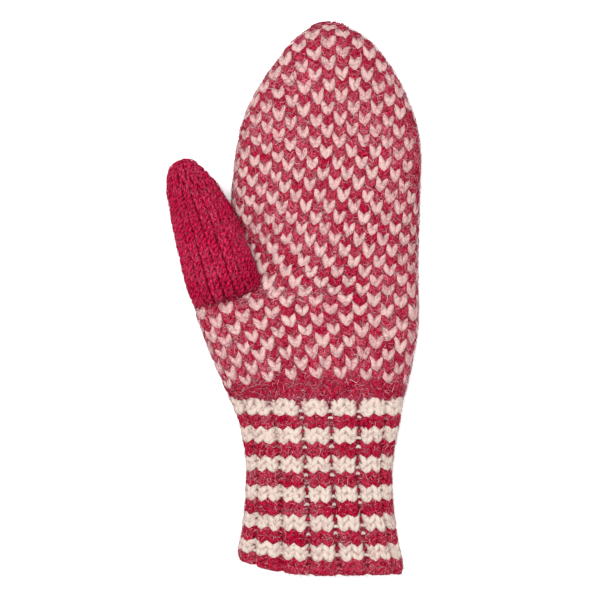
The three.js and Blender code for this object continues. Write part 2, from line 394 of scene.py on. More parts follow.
def reach(along: np.ndarray, width: np.ndarray) -> np.ndarray:
    """Measures places over the surface of a tube that narrows towards its tip.

    Args:
        along: Rising places on the tube's axis.
        width: Half width of the tube there.

    Returns:
        Rising places over the surface, equal to along at the tube's start.
    """
    steps = np.hypot(np.diff(along), np.diff(width))
    return along[0] + np.concatenate([[0], np.cumsum(steps)])


def flat_tube(section: dict[str, np.ndarray], angle: np.ndarray,
              slope: np.ndarray | float) -> tuple[np.ndarray, np.ndarray]:
    """Finds points of flattened tubes at an angle from the right edge over the top.

    Args:
        section: Columns left, right, top and edge, one value per section.
        angle: Angles around each section.
        slope: Exponent of the curve over the left edge.

    Returns:
        X and height of the points, by section and angle.
    """
    column = {name: values[:, None] for name, values in section.items()}
    half = (column["right"] - column["left"]) / 2
    centre = (column["right"] + column["left"]) / 2
    across, up = np.cos(angle), np.sin(angle)
    crown = np.where(across < 0, slope, CROWN)
    power = 2 / np.where(up > 0, crown, UNDERSIDE)
    x = centre + half * signed_power(across, power)
    rise = np.where(up > 0, column["top"] - column["edge"], column["edge"] + PRESSED)
    z = column["edge"] + rise * signed_power(up, power)
    return x, np.maximum(z, 0)


def even_turns(x: np.ndarray, z: np.ndarray, count: int) -> tuple[np.ndarray, np.ndarray]:
    """Moves the points of each section's stretch to equal distances.

    Args:
        x: X of the points, by section.
        z: Height of the points, by section.
        count: How many points each section keeps, its last point left out.

    Returns:
        X and height of the even points.
    """
    steps = np.hypot(np.diff(x, axis=1), np.diff(z, axis=1))
    lengths = np.concatenate([np.zeros((len(x), 1)), np.cumsum(steps, axis=1)], axis=1)
    places = np.arange(count) / count
    even_x = np.empty((len(x), count))
    even_z = np.empty((len(x), count))
    for row, length in enumerate(lengths):
        wanted = places * length[-1]
        even_x[row] = np.interp(wanted, length, x[row])
        even_z[row] = np.interp(wanted, length, z[row])
    return even_x, even_z


@dataclass
class HandSkin(Skin):
    """Outer skin of the hand. Turn 0 is its left edge and turn 0.5 its right one, over the palm.

    Attributes:
        steps: Sections of its grid.
        around: Points of each section.
    """

    steps: int = 381
    around: int = 320

    def __post_init__(self) -> None:
        """Builds the grid from the table of sections."""
        self.section = smooth_rows(HAND_SECTIONS, self.steps)
        halves = []
        for start, end in ((math.pi, 0.0), (0.0, -math.pi)):
            angle = np.linspace(start, end, FINE_STEPS)[None, :]
            x, z = flat_tube(self.section, angle, self.section["slope"][:, None])
            halves.append(even_turns(x, z, self.around // 2))
        x = np.concatenate([half[0] for half in halves], axis=1)
        z = np.concatenate([half[1] for half in halves], axis=1)
        y = np.repeat(self.section["along"][:, None], self.around, axis=1)
        top, edge = self.section["top"][:, None], self.section["edge"][:, None]
        raised = np.maximum(z - edge, 0) / np.maximum(top - edge, 1)
        distance = np.hypot(x - PALM_DIP.x, y - PALM_DIP.y) / PALM_DIP.radius
        z = z - raised * PALM_DIP.depth * np.exp(-distance ** 2)
        over = reach(self.section["along"], self.section["top"])
        super().__init__(over, np.stack([x, y, z], axis=2), True)

    def depth(self, points: np.ndarray) -> np.ndarray:
        """Tells roughly how deep points lie inside the hand.

        Args:
            points: Points in millimetres.

        Returns:
            Their depths, negative outside it.
        """
        steps = np.arange(self.steps)
        place = np.interp(points[..., 1], self.section["along"], steps)
        column = read_columns(self.section, steps, place)
        half = (column["right"] - column["left"]) / 2
        across = (points[..., 0] - (column["right"] + column["left"]) / 2) / np.maximum(half, SMALL)
        above = points[..., 2] - column["edge"]
        rise = np.where(above > 0, column["top"] - column["edge"], column["edge"] + PRESSED)
        crown = np.where(across < 0, column["slope"], CROWN)
        power = np.where(above > 0, crown, UNDERSIDE)
        form = np.abs(across) ** power + np.abs(above / np.maximum(rise, SMALL)) ** power
        return (1 - form ** (1 / power)) * np.minimum(half, rise)


@dataclass
class ThumbSkin(Skin):
    """Outer skin of the thumb. Turn 0 is its outer edge, and the turn runs over its top.

    Attributes:
        base: X and Y at which its axis starts.
        lean: How far its axis leans to the left, in radians.
        steps: Sections of its grid.
        around: Points of each section.
    """

    base: tuple[float, float] = (-31.5, -0.5)
    lean: float = math.radians(18)
    steps: int = 181
    around: int = 160

    def __post_init__(self) -> None:
        """Builds the grid from the table of sections."""
        self.section = smooth_rows(THUMB_SECTIONS, self.steps)
        angle = (math.pi - np.arange(self.around) / self.around * 2 * math.pi)[None, :]
        column = {name: values[:, None] for name, values in self.section.items()}
        across = column["shift"] + column["across"] * np.cos(angle)
        height = np.maximum(column["height"] + column["deep"] * np.sin(angle), 0)
        along = np.broadcast_to(column["along"], across.shape)
        x = self.base[0] - along * math.sin(self.lean) + across * math.cos(self.lean)
        y = self.base[1] + along * math.cos(self.lean) + across * math.sin(self.lean)
        over = reach(self.section["along"], (self.section["across"] + self.section["deep"]) / 2)
        super().__init__(over, np.stack([x, y, height], axis=2), True)

    def closeness(self, points: np.ndarray, start: float) -> np.ndarray:
        """Tells how far out points lie from the thumb's axis.

        Args:
            points: Points in millimetres.
            start: Place on the axis before which every point is far from the thumb.

        Returns:
            Their distance from the axis, 1 on the thumb's skin.
        """
        x, y = points[..., 0] - self.base[0], points[..., 1] - self.base[1]
        along = -x * math.sin(self.lean) + y * math.cos(self.lean)
        side = x * math.cos(self.lean) + y * math.sin(self.lean)
        column = read_columns(self.section, self.section["along"], along)
        across = (side - column["shift"]) / np.maximum(column["across"], SMALL)
        above = (points[..., 2] - column["height"]) / np.maximum(column["deep"], SMALL)
        return np.where(along < start, FAR, np.hypot(across, above))


@dataclass
class CuffSkin(Skin):
    """Outer skin of the cuff without its grooves. Turn 0 is the middle of its top; it runs to the right.

    Attributes:
        steps: Sections of its grid.
        around: Points of each section.
        left_rise: How much shorter it is at its left side than in the middle.
        right_rise: How much shorter it is at its right side.
        right_rise_curve: Power with which that grows towards the side.
    """

    steps: int = 161
    around: int = 390
    left_rise: float = 6.3
    right_rise: float = -0.8
    right_rise_curve: float = 5.0

    def __post_init__(self) -> None:
        """Builds the grid from the table of sections; place 0 is the edge and 1 the wrist."""
        section = smooth_rows(CUFF_SECTIONS, self.steps)
        angle = np.linspace(math.pi / 2, -1.5 * math.pi, 2 * FINE_STEPS - 1)[None, :]
        x, z = even_turns(*flat_tube(section, angle, CROWN), self.around)
        centre = ((section["right"] + section["left"]) / 2)[:, None]
        half = ((section["right"] - section["left"]) / 2)[:, None]
        side = np.clip((x - centre) / half, -1, 1)
        right = self.right_rise * np.abs(side) ** self.right_rise_curve
        rise = np.where(side < 0, self.left_rise * side ** 2, right)
        drop = section["drop"][:, None]
        y = (WRIST - SEAM_GAP) * (1 - drop) + (CUFF_END + rise) * drop
        grid = np.stack([x, y, z], axis=2)[::-1]
        super().__init__(1 - section["drop"][::-1], grid, False)

    def shorter(self, turn: np.ndarray) -> np.ndarray:
        """Tells by what part the cuff is shorter at a turn than in the middle.

        Args:
            turn: Turns around it.

        Returns:
            Parts of its length at that turn.
        """
        lengths = self.rings[-1, :, 1] - self.rings[0, :, 1]
        spot = np.floor(np.mod(turn, 1.0) * self.around).astype(int) % self.around
        return lengths[0] / lengths[spot] - 1


class LoopPoint(NamedTuple):
    """One point of a stitch's right half: place in the fabric's columns and rows, height and fatness."""

    column: float
    row: float
    height: float
    fat: float


# From the foot up the leg to the middle of the head, on the hand
HAND_LOOP = (
    LoopPoint(0.02, -0.90, -1.3, 0.36),
    LoopPoint(0.045, -0.58, -0.15, 0.62),
    LoopPoint(0.13, -0.24, 0.1, 1.04),
    LoopPoint(0.25, 0.08, 0.12, 1.08),
    LoopPoint(0.355, 0.38, 0.05, 0.9),
    LoopPoint(0.435, 0.70, -0.4, 0.48),
    LoopPoint(0.0, 0.95, -2.2, 0.4),
)

# The thumb's stitches are drawn long
THUMB_LOOP = (
    LoopPoint(0.03, -0.98, -1.3, 0.5),
    LoopPoint(0.08, -0.60, -0.15, 0.9),
    LoopPoint(0.17, -0.22, 0.2, 1.05),
    LoopPoint(0.26, 0.18, 0.2, 1.05),
    LoopPoint(0.335, 0.54, -0.2, 0.9),
    LoopPoint(0.38, 0.86, -1.1, 0.55),
    LoopPoint(0.0, 1.15, -2.2, 0.4),
)

# The cuff's stitches are wide and low
CUFF_LOOP = (
    LoopPoint(0.03, -1.05, -1.4, 0.45),
    LoopPoint(0.06, -0.62, -0.3, 0.8),
    LoopPoint(0.165, -0.22, 0.05, 1.05),
    LoopPoint(0.28, 0.14, 0.05, 1.05),
    LoopPoint(0.385, 0.50, -0.2, 0.85),
    LoopPoint(0.46, 0.86, -0.9, 0.5),
    LoopPoint(0.0, 1.3, -2.2, 0.4),
)

# A short arch that lies across the column
PURL_LOOP = (
    LoopPoint(0.60, -0.14, -1.0, 0.5),
    LoopPoint(0.40, 0.02, -0.2, 0.9),
    LoopPoint(0.20, 0.08, 0.1, 1.0),
    LoopPoint(0.0, 0.10, 0.15, 1.0),
)


@dataclass(frozen=True)
class Loop:
    """The form of one stitch, in columns, rows and millimetres of height.

    Attributes:
        points: The right half of its yarn's middle line.
        column: Nominal width of a column.
        row: Nominal height of a row.
        side: Half width of the yarn, seen from above.
        deep: Half thickness of the yarn.
        corners: Corners around the yarn.
    """

    points: tuple[LoopPoint, ...]
    column: float
    row: float
    side: float
    deep: float
    corners: int = 6

    def line(self) -> np.ndarray:
        """Lists the points of the whole loop from foot to foot.

        Returns:
            Place across, place up and height of each point in millimetres, and its fatness.
        """
        half = np.array(self.points)
        whole = np.concatenate([half[:-1] * np.array([-1, 1, 1, 1]), half[::-1]])
        return whole * np.array([self.column, self.row, 1.0, 1.0])

    def rings(self, left_fat: float, right_fat: float) -> tuple[np.ndarray, np.ndarray]:
        """Sweeps the yarn's section along the loop.

        Args:
            left_fat: Fatness of the left leg.
            right_fat: Fatness of the right leg.

        Returns:
            The swept rings and the two closing points, in columns, rows and height.
        """
        line = self.line()
        centre, fat = line[:, :3], line[:, 3].copy()
        middle = len(self.points) - 1
        fat[:middle] *= left_fat
        fat[middle + 1:] *= right_fat
        tangent = np.gradient(centre, axis=0)
        tangent /= np.linalg.norm(tangent, axis=1, keepdims=True)
        side = np.cross(tangent, np.array([0.0, 0.0, 1.0]))
        side /= np.maximum(np.linalg.norm(side, axis=1, keepdims=True), SMALL)
        up = np.cross(side, tangent)
        angle = np.arange(self.corners) / self.corners * 2 * math.pi
        swing = side[:, None] * np.cos(angle)[None, :, None] * self.side
        lift = up[:, None] * np.sin(angle)[None, :, None] * self.deep
        rings = centre[:, None] + (swing + lift) * fat[:, None, None]
        ends = centre[[0, -1]] + tangent[[0, -1]] * np.array([[-0.5], [0.5]]) * self.deep
        scale = np.array([self.column, self.row, 1.0])
        return rings / scale, ends / scale

    def length_along(self) -> np.ndarray:
        """Measures the yarn.

        Returns:
            Distance of each ring along the yarn, in millimetres.
        """
        steps = np.linalg.norm(np.diff(self.line()[:, :3], axis=0), axis=1)
        return np.concatenate([[0], np.cumsum(steps)])


# The part of a sweep's own map that its rings take up, and the part of a bake cell that a sweep takes up
RINGS_FROM, RINGS_PART = 0.03, 0.94
CELL_FROM, CELL_PART = 0.06, 0.88

# Millimetres in one unit of a yarn's map, and how far apart in millimetres the yarns' patterns are read
YARN_UNIT = 10
YARN_SPREAD = 97


@dataclass
class SweptBatch:
    """Many small closed sweeps that become one mesh.

    Attributes:
        rings: Points, by sweep, ring and corner.
        ends: The two closing points of each sweep.
        lengths: Distance of each ring along its sweep.
        shade: One value per sweep, which its finish may read.
    """

    rings: np.ndarray
    ends: np.ndarray
    lengths: np.ndarray
    shade: np.ndarray

    @property
    def own(self) -> int:
        """How many vertices a sweep has."""
        return self.rings.shape[1] * self.rings.shape[2] + 2

    def only(self, chosen: np.ndarray) -> "SweptBatch":
        """Keeps the chosen sweeps."""
        return SweptBatch(self.rings[chosen], self.ends[chosen], self.lengths, self.shade[chosen])

    def one_sweep(self) -> tuple[np.ndarray, np.ndarray, np.ndarray]:
        """Lists the faces of one sweep.

        Returns:
            Corners of its quads, corners of its triangles, and where all these corners lie on the
            sweep's own map, along it and around it.
        """
        rings, corners = self.rings.shape[1:3]
        ring, corner = np.divmod(np.arange((rings - 1) * corners), corners)
        after = (corner + 1) % corners
        quads = np.stack([ring * corners + corner, (ring + 1) * corners + corner,
                          (ring + 1) * corners + after, ring * corners + after], axis=1)
        spots = np.arange(corners)
        nexts = (spots + 1) % corners
        last = (rings - 1) * corners
        start, end = np.full(corners, self.own - 2), np.full(corners, self.own - 1)
        tris = np.concatenate([np.stack([start, spots, nexts], axis=1),
                               np.stack([end, last + nexts, last + spots], axis=1)])
        along = RINGS_FROM + RINGS_PART * self.lengths / self.lengths[-1]
        quad_u = np.stack([along[ring], along[ring + 1], along[ring + 1], along[ring]], axis=1)
        quad_v = np.stack([corner, corner, corner + 1, corner + 1], axis=1) / corners
        cap_u = np.concatenate([np.tile([0, along[0], along[0]], (corners, 1)),
                                np.tile([1, along[-1], along[-1]], (corners, 1))])
        cap_v = np.concatenate([np.stack([spots + 0.5, spots, spots + 1], axis=1),
                                np.stack([spots + 0.5, spots + 1, spots], axis=1)]) / corners
        places = np.concatenate([np.stack([quad_u, quad_v], axis=2).reshape(-1, 2),
                                 np.stack([cap_u, cap_v], axis=2).reshape(-1, 2)])
        return quads, tris, places

    def arrays(self) -> tuple[np.ndarray, ...]:
        """Lists the batch's vertices, faces and maps.

        Returns:
            Vertices, corners of the quads, corners of the triangles, and for each corner its place in
            the bake's cells and its place on the yarn.
        """
        quads, tris, places = self.one_sweep()
        count = len(self.rings)
        vertices = np.concatenate([self.rings.reshape(count, -1, 3), self.ends], axis=1).reshape(-1, 3)
        first = (np.arange(count) * self.own)[:, None, None]
        side = math.ceil(math.sqrt(count))
        cell = np.stack([np.arange(count) % side, np.arange(count) // side], axis=1)
        bake = (cell[:, None] + CELL_FROM + CELL_PART * places[None]) / side
        yarn = np.empty((count, len(places), 2))
        yarn[:, :, 0] = places[None, :, 1]
        along = places[None, :, 0] * self.lengths[-1]
        yarn[:, :, 1] = (along + self.shade[:, None] * YARN_SPREAD) / YARN_UNIT
        split = quads.size
        maps = [np.concatenate([values[:, :split].reshape(-1, 2), values[:, split:].reshape(-1, 2)])
                for values in (bake, yarn)]
        return vertices, (first + quads[None]).reshape(-1, 4), (first + tris[None]).reshape(-1, 3), *maps

    def piece(self, name: str) -> bpy.types.Object:
        """Makes one object of all sweeps.

        Args:
            name: The piece's name.

        Returns:
            The object, with its maps OFBake and YarnMap and the point attribute shade.
        """
        vertices, quads, tris, bake, yarn = self.arrays()
        mesh = bpy.data.meshes.new(name)
        mesh.vertices.add(len(vertices))
        mesh.vertices.foreach_set("co", (resting(vertices) * MM).astype(np.float32).ravel())
        corners = np.concatenate([quads.ravel(), tris.ravel()])
        mesh.loops.add(len(corners))
        mesh.loops.foreach_set("vertex_index", corners.astype(np.int32))
        totals = np.concatenate([np.full(len(quads), 4), np.full(len(tris), 3)])
        starts = np.concatenate([[0], np.cumsum(totals)[:-1]])
        mesh.polygons.add(len(totals))
        mesh.polygons.foreach_set("loop_start", starts.astype(np.int32))
        mesh.polygons.foreach_set("loop_total", totals.astype(np.int32))
        mesh.polygons.foreach_set("use_smooth", np.ones(len(totals), bool))
        for label, values in (("OFBake", bake), ("YarnMap", yarn)):
            layer = mesh.uv_layers.new(name=label)
            layer.data.foreach_set("uv", values.astype(np.float32).ravel())
        give_shade(mesh, np.repeat(self.shade, self.own))
        mesh.update(calc_edges=True)
        mesh.validate()
        thing = bpy.data.objects.new(name, mesh)
        bpy.context.scene.collection.objects.link(thing)
        return thing


def give_shade(mesh: bpy.types.Mesh, values: np.ndarray) -> None:
    """Gives a mesh the point attribute shade, which its finish reads.

    Args:
        mesh: The mesh.
        values: One value per vertex.
    """
    shade = mesh.attributes.new("shade", "FLOAT", "POINT")
    shade.data.foreach_set("value", values.astype(np.float32))


class Spots(NamedTuple):
    """Places near stitches, each an array.

    column and row are the stitch's own, aside and above the distance from its middle in columns and in
    rows, and height the height over the skin.
    """

    column: np.ndarray
    row: np.ndarray
    aside: np.ndarray
    above: np.ndarray
    height: np.ndarray


def beside(stitches: np.ndarray, aside: float = 0.0, above: float = 0.0, height: float = 0.0) -> Spots:
    """Finds the spots that lie the same way beside all stitches.

    Args:
        stitches: Column and row of each stitch.
        aside: Distance from its middle, in columns.
        above: Distance from its middle, in rows.
        height: Height over the skin.

    Returns:
        One spot per stitch.
    """
    zero = np.zeros(len(stitches))
    return Spots(stitches[:, 0], stitches[:, 1], zero + aside, zero + above, zero + height)


class Fabric:
    """A knitted surface that turns columns and rows of stitches into points."""

    def point(self, spots: Spots) -> np.ndarray:
        """Finds the points of spots near stitches.

        Args:
            spots: The spots.

        Returns:
            Points in millimetres.
        """
        raise NotImplementedError


@dataclass
class Knitter:
    """Lays stitches on a fabric, each a little unlike the next.

    Attributes:
        loop: The form of the stitches.
        seed: Seed of the small differences.
        variants: How many forms of the stitch there are.
        unevenness: How far stitches wander, in columns and rows.
        slant: How much of the fabric's slant a stitch takes on.
        most_slant: Most slant that a stitch takes on, in columns for each row.
        frayed: How rough the yarn's outline is, in millimetres.
        fatness: How much the legs differ in fatness.
        stretch: How much stitches differ in size, and how much they lean.
        lift: How much they differ in height, in millimetres.
        most_filled: How far a stitch is drawn out at most, in its own nominal height.
    """

    loop: Loop
    seed: int
    variants: int = 9
    unevenness: float = 0.04
    slant: float = 0.4
    most_slant: float = 0.1
    frayed: float = 0.13
    fatness: float = 0.07
    stretch: float = 0.035
    lift: float = 0.12
    most_filled: float = 1.25

    def fitted(self, fabric: Fabric, stitches: np.ndarray) -> tuple[np.ndarray, np.ndarray]:
        """Measures how stitches differ from the fabric where it is slanted or drawn out.

        Args:
            fabric: Turns columns, rows and heights into points.
            stitches: Column and row of each stitch.

        Returns:
            Columns to move by for each row of height, and the part of a row's height that is filled.
        """
        across = fabric.point(beside(stitches, aside=0.5)) - fabric.point(beside(stitches, aside=-0.5))
        upward = fabric.point(beside(stitches, above=0.5)) - fabric.point(beside(stitches, above=-0.5))
        slant = (across * upward).sum(axis=1) / np.maximum((across * across).sum(axis=1), SMALL)
        height = np.linalg.norm(upward, axis=1)
        filled = np.minimum(self.most_filled * self.loop.row / np.maximum(height, SMALL), 1)
        kept = np.clip(slant * self.slant, -self.most_slant, self.most_slant)
        return kept - slant, filled

    def knit(self, fabric: Fabric, stitches: np.ndarray) -> SweptBatch:
        """Lays one stitch at each place.

        Args:
            fabric: Turns columns, rows and heights into points.
            stitches: Column and row of each stitch.

        Returns:
            The stitches as a batch.
        """
        chance = np.random.default_rng(self.seed)
        fats = chance.normal(1.0, self.fatness, (self.variants, 2))
        forms = [self.loop.rings(left, right) for left, right in fats]
        rings = np.stack([form[0] for form in forms])
        ends = np.stack([form[1] for form in forms])
        count = len(stitches)
        pick = chance.integers(0, self.variants, count)
        offset = chance.normal(0, self.unevenness, (count, 2))
        size = 1 + chance.normal(0, self.stretch, (count, 2))
        lean, filled = self.fitted(fabric, stitches)
        lean += chance.normal(0, self.stretch, count)
        size[:, 1] *= filled
        lift = chance.normal(0, self.lift, count)

        def placed(form: np.ndarray) -> np.ndarray:
            """Moves the points of each stitch's form to its place on the fabric.

            Args:
                form: Points in columns, rows and height, by stitch.

            Returns:
                Points in millimetres.
            """
            spread = (slice(None),) + (None,) * (form.ndim - 2)
            aside = form[..., 0] * size[:, 0][spread] + lean[spread] * form[..., 1] + offset[:, 0][spread]
            above = form[..., 1] * size[:, 1][spread] + offset[:, 1][spread]
            height = form[..., 2] - self.loop.deep + lift[spread]
            column, row = stitches[:, 0][spread], stitches[:, 1][spread]
            points = fabric.point(Spots(column, row, aside, above, height))
            return points + chance.normal(0, self.frayed, points.shape)

        body, tips = placed(rings[pick]), placed(ends[pick])
        return SweptBatch(body, tips, self.loop.length_along(), chance.random(count))


@dataclass
class HandFabric(Fabric):
    """The hand's knitting. Columns lie on the palm, and on the back where BACK is added to them."""

    skin: HandSkin

    def __post_init__(self) -> None:
        """Keeps the columns of the table of rows."""
        self.table = {name: np.array([getattr(entry, name) for entry in HAND_ROWS], float)
                      for name in HandRow._fields}

    def read(self, name: str, row: np.ndarray) -> np.ndarray:
        """Reads one column of the table of rows at any row."""
        return through(self.table["row"], self.table[name], row)

    def edges(self, row: np.ndarray, back: bool) -> tuple[np.ndarray, np.ndarray]:
        """Finds the columns at the two side edges.

        Args:
            row: Rows to read.
            back: Whether the back's columns are asked for.

        Returns:
            The columns at the left and the right edge.
        """
        first, last = self.read("first", row), self.read("last", row)
        if not back:
            return first, last
        straight = np.minimum(row, 0)
        half = STITCHES_AROUND / 2
        left = -half - self.read("first", straight) + first - self.read("first", straight)
        right = half - self.read("last", straight) + last - self.read("last", straight)
        return left, right

    def place(self, column: np.ndarray, row: np.ndarray, back: bool) -> tuple[np.ndarray, np.ndarray]:
        """Finds the skin's place of a point of the knitting.

        Args:
            column: Columns, on the palm or on the back.
            row: Rows.
            back: Whether the columns are the back's.

        Returns:
            Places along the skin and turns around it.
        """
        left, right = self.edges(row, back)
        along, tilt, bow = self.read("along", row), self.read("tilt", row), self.read("bow", row)
        side = (column - left) / np.maximum(right - left, 0.5)
        if not back:
            return along + tilt * (side - 0.5) + bow * (side - 0.5) ** 2, side / 2
        edge = along + tilt * (side - 0.5) + bow * 0.25
        return edge - bow * side * (1 - side), 1 - side / 2

    def point(self, spots: Spots) -> np.ndarray:
        """Finds the points of spots near stitches of the hand.

        Args:
            spots: The spots.

        Returns:
            Points in millimetres.
        """
        back = spots.column > BACK / 2
        row = spots.row + spots.above
        palm_along, palm_turn = self.place(spots.column + spots.aside, row, False)
        back_along, back_turn = self.place(spots.column - BACK - spots.aside, row, True)
        along = np.where(back, back_along, palm_along)
        turn = np.where(back, back_turn, palm_turn)
        return self.skin.point(np.minimum(along, self.skin.alongs[-1]), turn, spots.height)


Colour = tuple[int, int, int]
Value = Union[bpy.types.NodeSocket, float, tuple]


def lit(colour: Colour) -> tuple[float, float, float, float]:
    """Turns a colour as it looks in full light into a surface colour.

    Args:
        colour: Red, green and blue from 0 to 255, as they look.

    Returns:
        The surface's own colour, in linear light.
    """
    values = []
    for value in colour:
        part = value / 255
        linear = part / 12.92 if part <= 0.04045 else ((part + 0.055) / 1.055) ** 2.4
        values.append(linear / LIGHT_LEVEL)
    return (*values, 1.0)


@dataclass
class NodeSheet:
    """Adds nodes to one material and links them."""

    material: bpy.types.Material

    def __post_init__(self) -> None:
        """Switches the material's nodes on and finds its shader."""
        self.material.use_nodes = True
        self.tree = self.material.node_tree
        self.shader = self.tree.nodes["Principled BSDF"]

    def add(self, kind: str, **settings: Union[str, bool]) -> bpy.types.Node:
        """Adds a node.

        Args:
            kind: The node's type.
            **settings: Its properties.

        Returns:
            The node.
        """
        node = self.tree.nodes.new(kind)
        for name, value in settings.items():
            setattr(node, name, value)
        return node

    def feed(self, socket: bpy.types.NodeSocket, value: Value) -> None:
        """Links an input to an output, or gives it a value of its own.

        Args:
            socket: The input.
            value: The output, or the value.
        """
        if isinstance(value, bpy.types.NodeSocket):
            self.tree.links.new(value, socket)
        else:
            socket.default_value = value

    def maths(self, operation: str, *terms: Value) -> bpy.types.NodeSocket:
        """Adds a sum.

        Args:
            operation: The kind of sum.
            *terms: Its one or two inputs.

        Returns:
            The result.
        """
        node = self.add("ShaderNodeMath", operation=operation)
        for socket, term in zip(node.inputs, terms):
            self.feed(socket, term)
        return node.outputs[0]

    def plus(self, first: Value, second: Value) -> bpy.types.NodeSocket:
        """Adds two values."""
        return self.maths("ADD", first, second)

    def times(self, first: Value, second: Value) -> bpy.types.NodeSocket:
        """Multiplies two values."""
        return self.maths("MULTIPLY", first, second)

    def mixed(self, amount: Value, first: Value, second: Value) -> bpy.types.NodeSocket:
        """Mixes two colours.

        Args:
            amount: Part of the second colour, from 0 to 1.
            first: The first colour.
            second: The second colour.

        Returns:
            The mixed colour.
        """
        node = self.add("ShaderNodeMix", data_type="RGBA")
        for place, value in zip((0, 6, 7), (amount, first, second)):
            self.feed(node.inputs[place], value)
        return node.outputs[2]

    def stretched(self, value: Value, low: float, high: float) -> bpy.types.NodeSocket:
        """Stretches a value smoothly.

        Args:
            value: The value.
            low: What becomes 0.
            high: What becomes 1.

        Returns:
            The stretched value.
        """
        node = self.add("ShaderNodeMapRange", interpolation_type="SMOOTHSTEP")
        for socket, given in zip(node.inputs, (value, low, high)):
            self.feed(socket, given)
        return node.outputs[0]

    def noise(self, vector: Value, scale: float, detail: float,
              distortion: float = 0.0) -> bpy.types.NodeSocket:
        """Adds a cloudy pattern.

        Args:
            vector: The place that it reads.
            scale: How fine it is.
            detail: How many finer patterns it holds.
            distortion: How much it is stirred.

        Returns:
            The pattern's strength.
        """
        node = self.add("ShaderNodeTexNoise")
        settings = {"Vector": vector, "Scale": scale, "Detail": detail, "Distortion": distortion}
        for name, value in settings.items():
            self.feed(node.inputs[name], value)
        return node.outputs["Fac"]

    def place(self) -> bpy.types.NodeSocket:
        """Reads the place on the object."""
        return self.add("ShaderNodeTexCoord").outputs["Object"]

    def shade(self) -> bpy.types.NodeSocket:
        """Reads the mesh's attribute shade."""
        return self.add("ShaderNodeAttribute", attribute_name="shade").outputs["Fac"]

    def emboss(self, relief: Value, strength: float, distance: float) -> None:
        """Gives the shader a relief.

        Args:
            relief: Height of the surface.
            strength: How much of it shows.
            distance: How high it is, in millimetres.
        """
        bump = self.add("ShaderNodeBump")
        for name, value in {"Strength": strength, "Distance": distance * MM, "Height": relief}.items():
            self.feed(bump.inputs[name], value)
        self.feed(self.shader.inputs["Normal"], bump.outputs[0])


# Directions in which loose fibres lie on the wool, and the size of their pattern across and along them
STRAND_TURNS = (0.35, 1.3, 2.4)
STRAND_SIZE = (4.0 * MM, 0.5 * MM, 0.8 * MM)


def strands(sheet: NodeSheet, place: bpy.types.NodeSocket) -> bpy.types.NodeSocket:
    """Draws fine loose fibres that cross the stitches in a few directions.

    Args:
        sheet: The material's nodes.
        place: The object's place.

    Returns:
        Where fibres lie, from 0 to 1.
    """
    found = None
    for turn in STRAND_TURNS:
        turned = sheet.add("ShaderNodeMapping", vector_type="TEXTURE")
        for name, value in {"Vector": place, "Rotation": (0, 0, turn), "Scale": STRAND_SIZE}.items():
            sheet.feed(turned.inputs[name], value)
        thin = sheet.stretched(sheet.noise(turned.outputs[0], 1.0, 1.0, 0.8), 0.58, 0.65)
        found = thin if found is None else sheet.maths("MAXIMUM", found, thin)
    return found


@dataclass(frozen=True)
class WoolFinish:
    """A dyed wool, in colours as they look in full light.

    Attributes:
        name: The material's name.
        dark: Its darkest colour: of its mottling, and on a yarn also the painted shade in the grooves between
            its plies.
        plain: Its usual colour.
        pale: Colour of its loose fibres.
        sheen: Strength of the soft glow at its edges.
        sheen_roughness: How wide that glow is.
        roughness: How matt it is.
    """

    name: str
    dark: Colour
    plain: Colour
    pale: Colour
    sheen: float = 0.02
    sheen_roughness: float = 0.45
    roughness: float = 0.92

    def sheet(self) -> NodeSheet:
        """Starts the material and sets its shader's own values.

        Returns:
            The material's nodes.
        """
        sheet = NodeSheet(bpy.data.materials.new(self.name))
        settings = {"Roughness": self.roughness, "Specular IOR Level": 0.0, "Sheen Weight": self.sheen,
                    "Sheen Roughness": self.sheen_roughness, "Sheen Tint": lit(self.pale)}
        for name, value in settings.items():
            sheet.feed(sheet.shader.inputs[name], value)
        return sheet


